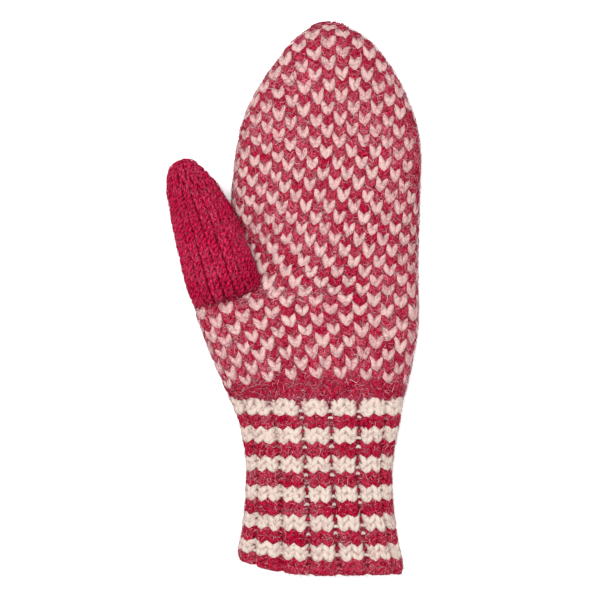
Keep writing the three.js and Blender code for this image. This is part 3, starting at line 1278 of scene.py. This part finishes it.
@dataclass(frozen=True)
class YarnFinish(WoolFinish):
    """A plied yarn, which reads the yarn's own map and the object's place.

    Attributes:
        twist: Depth of the grooves between its plies, in its relief and in the painted shade that darkens its
            colour there.
        felt: How strongly loose fibres cloud it.
        grain: How much of its mottling is loose, and not drawn out along the plies.
        plies: How many grooves lie around it.
        swirl: How often the plies go round it in one unit of its map.
        drawn: How fine the drawn-out mottling is around the yarn and along it.
        clouds: How fine the clouds of loose fibres are, to a metre.
        fluff: How fine the loose mottling is, to a metre.
        patches: How fine the patches are that are more worn than others, to a metre.
        worn: How strongly a stitch's own shade and the patches each change its cover of fibres.
        least_worn: Cover of fibres on the least worn yarn.
    """

    twist: float = 0.1
    felt: float = 0.3
    grain: float = 0.95
    plies: float = 4.0
    swirl: float = 1.7
    drawn: tuple[float, float] = (2.5, 4.0)
    clouds: float = 420.0
    fluff: float = 1500.0
    patches: float = 45.0
    worn: float = 0.9
    least_worn: float = 0.1

    def build(self) -> bpy.types.Material:
        """Makes the material.

        Returns:
            The material.
        """
        sheet = self.sheet()
        place = sheet.place()
        parts = sheet.add("ShaderNodeSeparateXYZ")
        sheet.feed(parts.inputs[0], sheet.add("ShaderNodeUVMap", uv_map="YarnMap").outputs[0])
        around, along = parts.outputs[0], parts.outputs[1]
        swirl = sheet.plus(sheet.times(along, self.swirl), around)
        wave = sheet.maths("SINE", sheet.times(swirl, math.pi * self.plies))
        ply = sheet.stretched(sheet.maths("ABSOLUTE", wave), 0.1, 0.9)
        threads = sheet.add("ShaderNodeCombineXYZ")
        for socket, value, fine in zip(threads.inputs, (swirl, along), self.drawn):
            sheet.feed(socket, sheet.times(value, fine))
        fibres = sheet.noise(threads.outputs[0], 3.0, 3.0)
        clouds = sheet.noise(place, self.clouds, 3.0)
        fluff = sheet.noise(place, self.fluff, 2.0)
        tone = sheet.plus(sheet.times(fibres, 1 - self.grain), sheet.times(fluff, self.grain))
        # Painted shade: the grooves between the plies pull the colour towards the dark one.
        groove = sheet.times(sheet.maths("SUBTRACT", 1.0, ply), self.twist * 0.2)
        depth = sheet.stretched(sheet.maths("SUBTRACT", tone, groove), 0.34, 0.6)
        base = sheet.mixed(depth, lit(self.dark), lit(self.plain))
        cloudy = sheet.plus(sheet.times(clouds, 0.5), sheet.times(fluff, 0.5))
        patches = sheet.stretched(sheet.noise(place, self.patches, 1.0), 0.38, 0.62)
        worn = sheet.plus(sheet.times(sheet.shade(), self.worn), sheet.times(patches, self.worn))
        covered = sheet.times(sheet.plus(worn, self.least_worn), self.felt)
        fibrous = sheet.maths("MAXIMUM", sheet.stretched(cloudy, 0.55, 0.68), strands(sheet, place))
        colour = sheet.mixed(sheet.times(fibrous, covered), base, lit(self.pale))
        sheet.feed(sheet.shader.inputs["Base Color"], colour)
        sheet.emboss(sheet.plus(sheet.times(ply, self.twist), sheet.times(tone, 1.2)), 0.7, 0.4)
        return sheet.material


@dataclass(frozen=True)
class FeltFinish(WoolFinish):
    """The felted ground behind the stitches, pale where the mesh's shade is 1.

    Attributes:
        felt: How strongly loose fibres cloud it.
        clouds: How fine its clouds are, to a metre.
        fluff: How fine its mottling is, to a metre.
    """

    felt: float = 0.5
    clouds: float = 260.0
    fluff: float = 1400.0

    def build(self) -> bpy.types.Material:
        """Makes the material.

        Returns:
            The material.
        """
        sheet = self.sheet()
        place = sheet.place()
        clouds = sheet.noise(place, self.clouds, 3.0)
        fluff = sheet.noise(place, self.fluff, 3.0)
        tone = sheet.plus(sheet.times(clouds, 0.4), sheet.times(fluff, 0.6))
        base = sheet.mixed(sheet.stretched(tone, 0.3, 0.6), lit(self.dark), lit(self.plain))
        loose = sheet.times(sheet.stretched(fluff, 0.5, 0.75), self.felt)
        covered = sheet.maths("MAXIMUM", loose, sheet.stretched(sheet.shade(), 0.2, 0.8))
        sheet.feed(sheet.shader.inputs["Base Color"], sheet.mixed(covered, base, lit(self.pale)))
        sheet.emboss(tone, 0.8, 0.5)
        return sheet.material


@dataclass(frozen=True)
class FibreFinish(WoolFinish):
    """Loose fibres, each of its own shade between plain and pale."""

    def build(self) -> bpy.types.Material:
        """Makes the material.

        Returns:
            The material.
        """
        sheet = self.sheet()
        colour = sheet.mixed(sheet.stretched(sheet.shade(), 0.3, 0.9), lit(self.plain), lit(self.pale))
        sheet.feed(sheet.shader.inputs["Base Color"], colour)
        return sheet.material


# The yarns, from their darkest colour, which is also their painted shade in the ply grooves, to their loose
# fibres
RED_WOOL = YarnFinish("red_yarn", (88, 0, 24), (200, 14, 58), (238, 142, 160), felt=0.35)
CREAM_WOOL = YarnFinish("cream_yarn", (226, 174, 171), (241, 211, 205), (206, 100, 124), sheen=0.05,
                        twist=0.15, felt=0.4, grain=0.65)
CUFF_RED_WOOL = YarnFinish("cuff_red_yarn", (86, 0, 24), (200, 12, 58), (232, 130, 150), felt=0.22)
CUFF_CREAM_WOOL = YarnFinish("cuff_cream_yarn", (230, 208, 194), (238, 224, 212), (234, 198, 190), sheen=0.05,
                             twist=0.15, grain=0.65)
THUMB_WOOL = YarnFinish("thumb_yarn", (124, 0, 38), (238, 20, 82), (232, 104, 134), twist=0.95, felt=0.28,
                        grain=0.3, plies=2.4)

# The felted ground behind them, and the fibres that stand out. The thumb's and the cuff's felt are darker
# than their yarns: painted shade in the gaps and gutters between the stitches.
HAND_FELT = FeltFinish("hand_felt", (136, 12, 48), (186, 50, 84), (226, 160, 168))
THUMB_FELT_AND_SHADE = FeltFinish("thumb_felt", (84, 0, 22), (140, 8, 42), (170, 50, 76))
CUFF_FELT_AND_SHADE = FeltFinish("cuff_felt", (98, 0, 32), (150, 28, 58), (238, 214, 200), felt=0.2)
HAND_FIBRES = FibreFinish("hand_fibres", (150, 20, 50), (190, 50, 84), (248, 214, 216))
THUMB_FIBRES = FibreFinish("thumb_fibres", (150, 20, 50), (200, 16, 64), (228, 96, 126))
CUFF_FIBRES = FibreFinish("cuff_fibres", (150, 20, 50), (208, 90, 116), (250, 220, 216))


@dataclass
class Fluff:
    """Loose fibres that stand out of a knitted surface, each a thin sweep through four points.

    Attributes:
        count: How many there are.
        seed: Seed of their places and forms.
        length: Usual length.
        thickness: Usual half thickness.
        bend: How far a fibre bends, in its own length.
        corners: Corners around a fibre.
        spots: Where its four points lie along it, in its length from its middle.
    """

    count: int
    seed: int
    length: float = 3.4
    thickness: float = 0.075
    bend: float = 0.2
    corners: int = 3
    spots: tuple[float, ...] = (-0.5, -0.2, 0.2, 0.5)

    def grow(self, skin: Skin, weights: np.ndarray, low: float, high: float) -> SweptBatch:
        """Grows the fibres on a skin.

        Args:
            skin: The skin that carries them.
            weights: How densely each cell of the skin's grid carries them.
            low: Lowest height of a fibre's middle line over the skin.
            high: Highest.

        Returns:
            The fibres as a batch.
        """
        chance = np.random.default_rng(self.seed)
        grid = skin.rings
        ahead = np.linalg.norm(grid[1:] - grid[:-1], axis=2)
        around = np.linalg.norm(np.roll(grid, -1, axis=1) - grid, axis=2)[:-1]
        area = (ahead * around * weights[:-1]).ravel()
        cells = chance.choice(len(area), self.count, p=area / area.sum())
        ring, turn = np.divmod(cells, grid.shape[1])
        place = np.interp(ring + chance.random(self.count), np.arange(len(skin.alongs)), skin.alongs)
        angle = (turn + chance.random(self.count)) / grid.shape[1]
        root = skin.point(place, angle, np.zeros(self.count))
        outward = skin.point(place, angle, np.ones(self.count)) - root
        sideways = np.cross(outward, chance.normal(size=(self.count, 3)))
        sideways /= np.linalg.norm(sideways, axis=1, keepdims=True)
        third = np.cross(outward, sideways)
        length = self.length * chance.lognormal(0, 0.35, self.count)
        bends = chance.normal(0, self.bend, (self.count, len(self.spots))) * length[:, None]
        heights = chance.uniform(low, high, (self.count, len(self.spots)))
        nodes = []
        for spot, side in enumerate(self.spots):
            flat = root + sideways * (length * side)[:, None] + third * bends[:, spot, None]
            nodes.append(flat + outward * heights[:, spot, None])
        thick = self.thickness * chance.lognormal(0, 0.3, self.count)
        angles = np.arange(self.corners) / self.corners * 2 * math.pi
        hand = np.sign(np.einsum("ij,ij->i", np.cross(third, outward), sideways))
        section = third[:, None] * np.cos(angles)[None, :, None]
        section = section + outward[:, None] * (hand[:, None] * np.sin(-angles))[:, :, None]
        section = section * thick[:, None, None]
        rings = np.stack([nodes[1][:, None] + section, nodes[2][:, None] + section], axis=1)
        lengths = (np.array(self.spots[1:3]) - self.spots[0]) * self.length
        return SweptBatch(rings, np.stack([nodes[0], nodes[3]], axis=1), lengths, chance.random(self.count))


# Tells something of the felt at places along a skin and turns around it, or which points lie in a hole
Reading = Callable[[np.ndarray, np.ndarray], np.ndarray]
Test = Callable[[np.ndarray], np.ndarray]

# Turn or step from which on a grid's point counts as its last one
LAST = 0.9999


@dataclass
class FeltShell:
    """The felted ground of a tube, from the middle of its wall to its inside.

    Attributes:
        name: The piece's name.
        skin: The tube's outer skin.
        wall: The tube's wall.
        sunk: How far its outside lies under the skin.
        span: First and last place along the skin.
        tipped: Whether its far end is gathered in a tip.
        rings: Steps along.
        around: Steps around.
        weld: Distance within which points become one.
    """

    name: str
    skin: Skin
    wall: float
    sunk: float
    span: tuple[float, float]
    tipped: bool
    rings: int = 90
    around: int = 110
    weld: float = 0.02

    def build(self, groove: Optional[Reading] = None, paleness: Optional[Reading] = None,
              hole: Optional[Test] = None) -> bpy.types.Object:
        """Rolls a grid up into the tube and gives it its wall.

        Args:
            groove: Tells how far the ribs' grooves sink the felt, if it has any.
            paleness: Tells where the felt is pale, if any of it is.
            hole: Tells which points are cut away, if any are.

        Returns:
            The finished piece, with the point attribute shade.
        """
        bpy.ops.object.select_all(action="DESELECT")
        bpy.ops.mesh.primitive_grid_add(x_subdivisions=self.around, y_subdivisions=self.rings, size=1)
        shell = bpy.context.object
        shell.name = shell.data.name = self.name
        flat = self.read(shell.data.vertices, "co") + 0.5
        turn, step = flat[:, 0], flat[:, 1]
        drawn = np.sin(step * math.pi / 2) if self.tipped else step
        along = self.span[0] + (self.span[1] - self.span[0]) * drawn
        nothing = np.zeros_like(turn)
        depth = self.sunk + (groove(along, turn) if groove else nothing)
        points = self.skin.point(along, np.where(turn > LAST, 0, turn), -depth)
        if self.tipped:
            tip = step > LAST
            points[tip] = points[tip].mean(axis=0)
        shell.data.vertices.foreach_set("co", (points * MM).astype(np.float32).ravel())
        give_shade(shell.data, paleness(along, turn) if paleness else nothing)
        bpy.ops.object.mode_set(mode="EDIT")
        bpy.ops.mesh.select_all(action="SELECT")
        bpy.ops.mesh.remove_doubles(threshold=self.weld * MM)
        bpy.ops.object.mode_set(mode="OBJECT")
        if hole is not None:
            self.cut(shell, hole)
        wall = shell.modifiers.new("wall", "SOLIDIFY")
        wall.thickness = (self.wall - self.sunk) * MM
        wall.offset = -1
        bpy.ops.object.modifier_apply(modifier=wall.name)
        solid = self.read(shell.data.vertices, "co")
        shell.data.vertices.foreach_set("co", (resting(solid / MM) * MM).ravel())
        bpy.ops.object.shade_smooth()
        return shell

    def read(self, parts: bpy.types.bpy_prop_collection, name: str) -> np.ndarray:
        """Reads a vector of every vertex or face.

        Args:
            parts: The mesh's vertices or faces.
            name: The vector's name.

        Returns:
            The vectors, one to a row.
        """
        values = np.empty(len(parts) * 3, np.float32)
        parts.foreach_get(name, values)
        return values.reshape(-1, 3)

    def cut(self, shell: bpy.types.Object, hole: Test) -> None:
        """Deletes the faces whose middle lies in a hole.

        Args:
            shell: The object that loses them.
            hole: Tells which points lie in the hole.
        """
        bpy.ops.object.mode_set(mode="EDIT")
        bpy.ops.mesh.select_mode(type="FACE")
        bpy.ops.mesh.select_all(action="DESELECT")
        bpy.ops.object.mode_set(mode="OBJECT")
        faces = shell.data.polygons
        faces.foreach_set("select", hole(self.read(faces, "center") / MM))
        bpy.ops.object.mode_set(mode="EDIT")
        bpy.ops.mesh.delete(type="FACE")
        bpy.ops.object.mode_set(mode="OBJECT")


def dress(piece: bpy.types.Object, finish: bpy.types.Material, node: str) -> None:
    """Gives a piece its finish and its place in the frame.

    Args:
        piece: The finished piece.
        finish: Its material.
        node: The solid that it stands for.
    """
    piece.data.materials.clear()
    piece.data.materials.append(finish)
    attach(piece, "root")
    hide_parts(node)
    faces = len(piece.data.polygons)
    triangles = sum(len(face.vertices) - 2 for face in piece.data.polygons)
    LOG.info("%s: %d faces, %d triangles", piece.name, faces, triangles)


@dataclass
class Hand:
    """The hand: a checked bag of red and cream stitches, red rows at the wrist, felt and fluff.

    Attributes:
        skin: Its outer skin.
        thumb: The thumb's outer skin.
        loop: The form of its stitches.
        first_row: Row at the wrist.
        last_row: Row at the finger tip.
        red_edge: Columns beside the right edge that are red in the rows whose edge is red.
        kept_from: Closeness to the thumb from which on a stitch is kept.
        hole: Closeness to the thumb within which the felt is cut away.
        felt_sunk: How far the felt lies under the skin.
        fibres: How many loose fibres there are.
    """

    skin: HandSkin
    thumb: ThumbSkin
    loop: Loop = Loop(HAND_LOOP, column=6.0, row=5.35, side=1.55, deep=0.9)
    first_row: int = -25
    last_row: int = 11
    red_edge: float = 1.3
    kept_from: float = 0.8
    hole: float = 0.62
    felt_sunk: float = 0.8
    fibres: int = 15500

    def stitches(self, fabric: HandFabric) -> tuple[np.ndarray, np.ndarray]:
        """Lists the hand's stitches.

        Args:
            fabric: The hand's knitting.

        Returns:
            Column and row of each stitch, and whether it is cream.
        """
        places, cream = [], []
        for row in range(self.first_row, self.last_row + 1):
            for back in (False, True):
                left, right = (float(edge) for edge in fabric.edges(np.array(float(row)), back))
                for column in range(math.ceil(left), math.floor(right) + 1):
                    places.append((column + (BACK if back else 0.0), row))
                    counted = STITCHES_AROUND // 2 - column if back else column
                    edged = row in RED_EDGE_ROWS and column > right - self.red_edge
                    cream.append((counted + row) % 2 == 0 and row >= LOWEST_PATTERN_ROW and not edged)
        return np.array(places, float), np.array(cream)

    def build(self) -> None:
        """Builds and dresses the hand's pieces."""
        fabric = HandFabric(self.skin)
        places, cream = self.stitches(fabric)
        roots = fabric.point(beside(places, height=-2.0))
        kept = self.thumb.closeness(roots, THUMB_START) > self.kept_from
        batch = Knitter(self.loop, seed=11).knit(fabric, places)
        wrist = places[:, 1] < LOWEST_PATTERN_ROW
        for name, chosen, wool, slot in (("hand_red_stitches", ~cream & ~wrist, RED_WOOL, "red_wool"),
                                         ("hand_wrist_stitches", wrist, CUFF_RED_WOOL, "red_wool"),
                                         ("hand_cream_stitches", cream, CREAM_WOOL, "cream_wool")):
            dress(batch.only(kept & chosen).piece(name), wool.build(), "hand")
        span = (WRIST, self.skin.alongs[-1])
        shell = FeltShell("hand_felt", self.skin, HAND_WALL, self.felt_sunk, span, tipped=True)
        felt = shell.build(hole=lambda points: self.thumb.closeness(points, THUMB_START) < self.hole)
        dress(felt, HAND_FELT.build(), "hand")
        everywhere = np.ones(self.skin.rings.shape[:2])
        fibres = Fluff(self.fibres, seed=12).grow(self.skin, everywhere, -0.1, 0.6)
        dress(fibres.piece("hand_fluff"), HAND_FIBRES.build(), "hand")


@dataclass
class ThumbFabric(Fabric):
    """The thumb's knitting: rows of columns that grow fewer at the tip.

    Attributes:
        skin: The thumb's outer skin.
        row_height: Height of a row, in millimetres.
        start: Place of the first row along the skin.
        rows: How many rows there are.
        tip_rows: Rows at which the columns grow fewer, counted back from the last one.
        tip_columns: How many columns there are at them.
    """

    skin: ThumbSkin
    row_height: float
    start: float = 4.0
    rows: int = 18
    tip_rows: tuple[int, ...] = (5, 3, 2, 1, 0)
    tip_columns: tuple[int, ...] = (19, 16, 13, 9, 5)

    def columns(self, row: np.ndarray) -> np.ndarray:
        """Tells how many stitches a row has."""
        return np.round(np.interp(row, self.rows - 1 - np.array(self.tip_rows), self.tip_columns))

    def stitches(self) -> np.ndarray:
        """Lists column and row of every stitch."""
        return np.array([(column, row) for row in range(self.rows)
                         for column in range(int(self.columns(np.array(row))))], float)

    def point(self, spots: Spots) -> np.ndarray:
        """Finds the points of spots near stitches of the thumb.

        Args:
            spots: The spots.

        Returns:
            Points in millimetres.
        """
        turn = (spots.column + spots.aside) / self.columns(spots.row)
        along = self.start + (spots.row + spots.above) * self.row_height
        return self.skin.point(np.minimum(along, self.skin.alongs[-1]), turn, spots.height)


@dataclass
class Thumb:
    """The thumb: plain red stitches round a tube, felt and fluff.

    Attributes:
        skin: Its outer skin.
        hand: The hand's outer skin.
        loop: The form of its stitches.
        deepest_stitch: Depth in the hand down to which a stitch is kept.
        deepest_felt: Depth in the hand down to which the felt is kept.
        deepest_fibre: Depth in the hand down to which fibres grow.
        felt_sunk: How far the felt lies under the skin.
        fibres: How many loose fibres there are.
    """

    skin: ThumbSkin
    hand: HandSkin
    loop: Loop = Loop(THUMB_LOOP, column=5.0, row=4.3, side=0.98, deep=1.25)
    deepest_stitch: float = 4.0
    deepest_felt: float = 3.5
    deepest_fibre: float = 0.5
    felt_sunk: float = 1.9
    fibres: int = 2600

    def build(self) -> None:
        """Builds and dresses the thumb's pieces."""
        fabric = ThumbFabric(self.skin, self.loop.row)
        places = fabric.stitches()
        roots = fabric.point(beside(places, height=-1.0))
        places = places[self.hand.depth(roots) < self.deepest_stitch]
        batch = Knitter(self.loop, seed=21, unevenness=0.025, frayed=0.05).knit(fabric, places)
        dress(batch.piece("thumb_stitches"), THUMB_WOOL.build(), "thumb")
        span = (-4.0, self.skin.alongs[-1])
        shell = FeltShell("thumb_felt", self.skin, THUMB_WALL, self.felt_sunk, span, tipped=True,
                          rings=60, around=70)
        felt = shell.build(hole=lambda points: self.hand.depth(points) > self.deepest_felt)
        dress(felt, THUMB_FELT_AND_SHADE.build(), "thumb")
        outside = (self.hand.depth(self.skin.rings) < self.deepest_fibre) & (self.skin.alongs[:, None] > -1)
        fibres = Fluff(self.fibres, seed=22, length=3.0).grow(self.skin, outside.astype(float), -0.15, 0.5)
        dress(fibres.piece("thumb_fluff"), THUMB_FIBRES.build(), "thumb")


@dataclass
class CuffColumns:
    """Where the ribs' columns lie round the cuff: two knit ones and a sunken one in each rib.

    Attributes:
        ribs: How many ribs there are.
        open_gutter: Width of a gutter that lies open, in ribs.
        closed_gutter: Width of one that the stretchy knitting has closed.
        open_after: Ribs with an open gutter on their right; rib 0 is the middle one.
        depth: How far a gutter is sunk.
        crest: How far from a rib's middle its side starts to fall, in ribs.
        slope: Width of that side, in ribs.
        wrist_drift: How far the ribs lie to the right at the wrist, in ribs.
        drift: How much further they lie to the right at the edge.
    """

    ribs: int = 13
    open_gutter: float = 0.14
    closed_gutter: float = 0.05
    open_after: tuple[int, ...] = (-1, 0, 1)
    depth: float = 2.0
    crest: float = 0.3
    slope: float = 0.2
    wrist_drift: float = -0.12
    drift: float = 0.26

    def gutter(self, rib: int) -> float:
        """Tells the width of the gutter on a rib's right."""
        return self.open_gutter if rib in self.open_after else self.closed_gutter

    def all_ribs(self) -> range:
        """Lists the ribs from the left to the right."""
        return range(-(self.ribs // 2), self.ribs // 2 + 1)

    def knit_columns(self) -> list[tuple[float, float]]:
        """Lists the knit columns.

        Returns:
            Middle and width of each, in ribs.
        """
        columns = []
        for rib in self.all_ribs():
            left = rib - 0.5 + self.gutter(rib - 1) / 2
            right = rib + 0.5 - self.gutter(rib) / 2
            width = (right - left) / 2
            columns += [(left + width / 2, width), (right - width / 2, width)]
        return columns

    def gutter_columns(self, least: float) -> list[tuple[float, float]]:
        """Lists the sunken columns.

        Args:
            least: Least width of their stitches, in ribs.

        Returns:
            Middle and width of the stitches of each, in ribs.
        """
        return [(rib + 0.5, max(self.gutter(rib), least)) for rib in self.all_ribs()]

    def drifted(self, fallen: np.ndarray) -> np.ndarray:
        """Tells how many ribs further right the ribs lie at a part of the way from the wrist."""
        return self.wrist_drift + self.drift * fallen

    def sunk(self, turn: np.ndarray, fallen: np.ndarray) -> np.ndarray:
        """Tells how far the surface is sunk.

        Args:
            turn: Turns around the cuff.
            fallen: Parts of the way from the wrist to the edge.

        Returns:
            Depths in millimetres.
        """
        turn = turn - self.drifted(fallen) / self.ribs
        from_rib = np.abs(turn * self.ribs - np.round(turn * self.ribs))
        t = np.clip((from_rib - self.crest) / self.slope, 0, 1)
        return self.depth * t * t * (3 - 2 * t)


def wrist_ease(down: np.ndarray) -> np.ndarray:
    """Tells how many rows lower the cuff hangs, that many rows under the wrist."""
    return WRIST_EASE * np.exp(-(down - EASED_ROW) ** 2)


@dataclass
class CuffFabric(Fabric):
    """The cuff's knitting. Columns are told in ribs.

    Attributes:
        skin: The cuff's outer skin.
        columns: Where the ribs' columns lie.
        rows: How many rows there are.
        row_part: A row's part of the cuff's length.
        widths: Width of each stitch, in ribs.
    """

    skin: CuffSkin
    columns: CuffColumns
    rows: int
    row_part: float
    widths: np.ndarray

    def point(self, spots: Spots) -> np.ndarray:
        """Finds the points of spots near stitches of the cuff.

        Args:
            spots: The spots, of all stitches in their order.

        Returns:
            Points in millimetres.
        """
        widths = self.widths[(slice(None),) + (None,) * (spots.aside.ndim - 1)]
        down = self.rows - WRIST_UNDER - spots.row - spots.above
        fallen = (down + wrist_ease(down)) * self.row_part
        turn = (spots.column + spots.aside * widths + self.columns.drifted(fallen)) / self.columns.ribs
        along = 1 - fallen * (1 + self.skin.shorter(turn) * (1 - fallen ** 4))
        return self.skin.point(np.maximum(along, 0), turn, spots.height - self.columns.sunk(turn, fallen))


@dataclass
class Cuff:
    """The cuff: ribs of cream and red stripes, purl stitches between them, a cast-on edge, felt and fluff.

    Attributes:
        skin: Its outer skin.
        columns: Where the ribs' columns lie.
        rows: How many rows there are.
        row_part: A row's part of the cuff's length.
        knit: The form of the ribs' stitches.
        purl: The form of the stitches between them.
        edge: The form of the cast-on edge's grains.
        least_gutter: Least width of a purl stitch, in ribs.
        grains: Grains of the edge in one rib.
        grain_width: Width of a grain, in the distance between two.
        edge_rows: Rows at which the grains lie.
        pale_down_to: Part of a gutter's depth down to which the felt can be cream; deeper, it keeps the
            felt's darker red as painted shade in the gutters.
        felt_sunk: How far the felt lies under the skin.
        fibres: How many loose fibres there are.
    """

    skin: CuffSkin
    columns: CuffColumns = field(default_factory=CuffColumns)
    rows: int = 24
    row_part: float = 0.0421
    knit: Loop = Loop(CUFF_LOOP, column=5.6, row=3.58, side=1.5, deep=0.9)
    purl: Loop = Loop(PURL_LOOP, column=2.0, row=3.58, side=0.85, deep=1.0)
    edge: Loop = Loop(PURL_LOOP, column=2.8, row=3.58, side=1.5, deep=1.4)
    least_gutter: float = 0.12
    grains: int = 5
    grain_width: float = 1.3
    edge_rows: tuple[float, ...] = (-0.75, -0.4, -0.05)
    pale_down_to: float = 0.4
    felt_sunk: float = 1.1
    fibres: int = 5500

    def is_cream(self, row: np.ndarray) -> np.ndarray:
        """Tells which rows are cream: from the wrist down two cream, two red, and so on."""
        return ((self.rows - 1 - row) // 2) % 2 == 0

    def groove(self, along: np.ndarray, turn: np.ndarray) -> np.ndarray:
        """Tells how far the gutters sink the felt at places along the skin and turns around it."""
        return self.columns.sunk(turn, 1 - along)

    def paleness(self, along: np.ndarray, turn: np.ndarray) -> np.ndarray:
        """Tells where the felt is cream: on the ribs, behind all cream rows but the one at the wrist.

        Args:
            along: Places along the skin.
            turn: Turns around it.

        Returns:
            1 where it is cream and 0 where it is red.
        """
        fallen = 1 - along
        for _ in range(3):
            fallen = (1 - along) / (1 + self.skin.shorter(turn) * (1 - fallen ** 4))
        down = fallen / self.row_part
        row = np.round(self.rows - WRIST_UNDER - down + wrist_ease(down))
        # Deeper in the gutters the felt stays dark red in every stripe: painted shade.
        raised = self.columns.sunk(turn, fallen) < self.pale_down_to * self.columns.depth
        return (self.is_cream(row) & (row >= 0) & (row < self.rows - 1) & raised).astype(float)

    def laid(self, columns: list[tuple[float, float]], rows: Sequence[float], loop: Loop,
             seed: int) -> tuple[SweptBatch, np.ndarray]:
        """Lays stitches in columns and rows.

        Args:
            columns: Middle and width of each column.
            rows: The rows to knit.
            loop: The form of the stitch.
            seed: Seed of the small differences.

        Returns:
            The batch and which of its stitches are cream.
        """
        places = np.array([(middle, row) for row in rows for middle, _ in columns], float)
        widths = np.array([width for _ in rows for _, width in columns])
        fabric = CuffFabric(self.skin, self.columns, self.rows, self.row_part, widths)
        knitter = Knitter(loop, seed=seed, unevenness=0.03 if loop is self.knit else 0.09, frayed=0.08)
        # The purl stitches of an open gutter show the bump of the row above them, so their stripes lie
        # one row lower; the two rows at the edge are red all round.
        late = widths == self.columns.open_gutter
        return knitter.knit(fabric, places), self.is_cream(places[:, 1] + late) & (places[:, 1] > 1)

    def build(self) -> None:
        """Builds and dresses the cuff's pieces."""
        knit, knit_cream = self.laid(self.columns.knit_columns(), range(self.rows), self.knit, 31)
        gutters = self.columns.gutter_columns(self.least_gutter)
        purl, purl_cream = self.laid(gutters, range(self.rows), self.purl, 32)
        for yarn, wool, slot in ((Yarn.RED, CUFF_RED_WOOL, "red_wool"),
                                 (Yarn.CREAM, CUFF_CREAM_WOOL, "cream_wool")):
            for label, batch, cream in (("ribs", knit, knit_cream), ("gutters", purl, purl_cream)):
                part = batch.only(cream if yarn is Yarn.CREAM else ~cream)
                dress(part.piece(f"cuff_{yarn.value}_{label}"), wool.build(), "cuff")
        width = self.grain_width / self.grains
        grains = [(grain / self.grains, width) for grain in range(self.grains * self.columns.ribs)]
        brim, _ = self.laid(grains, self.edge_rows, self.edge, 33)
        dress(brim.piece("cuff_cast_on_edge"), CUFF_RED_WOOL.build(), "cuff")
        span = (0.012, 1.0)
        shell = FeltShell("cuff_felt", self.skin, CUFF_WALL, self.felt_sunk, span, tipped=False,
                          rings=100, around=220)
        dress(shell.build(self.groove, self.paleness), CUFF_FELT_AND_SHADE.build(), "cuff")
        everywhere = np.ones(self.skin.rings.shape[:2])
        fibres = Fluff(self.fibres, seed=34, length=2.8).grow(self.skin, everywhere, -0.4, 0.4)
        dress(fibres.piece("cuff_fluff"), CUFF_FIBRES.build(), "cuff")


@dataclass
class Studio:
    """Floor, lights and camera.

    Attributes:
        middle: What the camera looks at, in millimetres.
        lens: Its focal length.
        sensor: Width of its sensor.
        frame_width: How wide its view is at frame_height.
        frame_height: Height over the floor at which the view is measured.
        sky: Strength of the light from all around.
        paper: Brightness of the floor.
    """

    middle: tuple[float, float] = (3.5, -0.5)
    lens: float = 100.0
    sensor: float = 36.0
    frame_width: float = 300.0
    frame_height: float = 9.0
    sky: float = 0.6
    paper: float = 0.93

    def build(self) -> None:
        """Sets up the camera, the floor and the lights."""
        distance = self.frame_width * self.lens / self.sensor
        self.camera(distance + self.frame_height)
        self.floor()
        self.light("key_light", (-260, 220, 950), 800, 15.0)
        self.light("fill_light", (420, -180, 850), 900, 5.2)
        world = bpy.data.worlds.new("studio")
        bpy.context.scene.world = world
        world.use_nodes = True
        background = world.node_tree.nodes["Background"]
        background.inputs["Color"].default_value = (1, 1, 1, 1)
        background.inputs["Strength"].default_value = self.sky
        bpy.context.scene.view_settings.view_transform = "Standard"

    def camera(self, height: float) -> None:
        """Hangs the camera straight over the mitten.

        Args:
            height: Its height over the floor, in millimetres.
        """
        data = bpy.data.cameras.new("camera")
        data.lens = self.lens
        data.sensor_width = self.sensor
        data.clip_end = 10
        camera = bpy.data.objects.new("camera", data)
        bpy.context.scene.collection.objects.link(camera)
        camera.location = (self.middle[0] * MM, self.middle[1] * MM, height * MM)
        bpy.context.scene.camera = camera

    def light(self, name: str, place: tuple[float, float, float], size: float, power: float) -> None:
        """Adds a square light that looks at the mitten's middle.

        Args:
            name: The light's name.
            place: Its place, in millimetres.
            size: Its side, in millimetres.
            power: Its power, in watts.
        """
        data = bpy.data.lights.new(name, "AREA")
        data.size = size * MM
        data.energy = power
        lamp = bpy.data.objects.new(name, data)
        bpy.context.scene.collection.objects.link(lamp)
        lamp.location = Vector(place) * MM
        lamp.rotation_euler = Vector(place).to_track_quat("Z", "Y").to_euler()

    def floor(self) -> None:
        """Lays the plain floor."""
        bpy.ops.object.select_all(action="DESELECT")
        bpy.ops.mesh.primitive_plane_add(size=6, location=(0, 0, 0))
        floor = bpy.context.object
        floor.name = "floor"
        material = bpy.data.materials.new("pale_floor")
        material.use_nodes = True
        shader = material.node_tree.nodes["Principled BSDF"]
        shader.inputs["Base Color"].default_value = (self.paper, self.paper, self.paper, 1)
        shader.inputs["Roughness"].default_value = 0.9
        shader.inputs["Specular IOR Level"].default_value = 0.1
        floor.data.materials.append(material)


def main() -> None:
    """Builds the studio, the hand, the thumb and the cuff in order."""
    logging.basicConfig(level=logging.INFO, format="%(message)s")
    Studio().build()
    hand_skin, thumb_skin, cuff_skin = HandSkin(), ThumbSkin(), CuffSkin()
    Hand(hand_skin, thumb_skin).build()
    Thumb(thumb_skin, hand_skin).build()
    Cuff(cuff_skin).build()


if __name__ == "__main__":
    main()
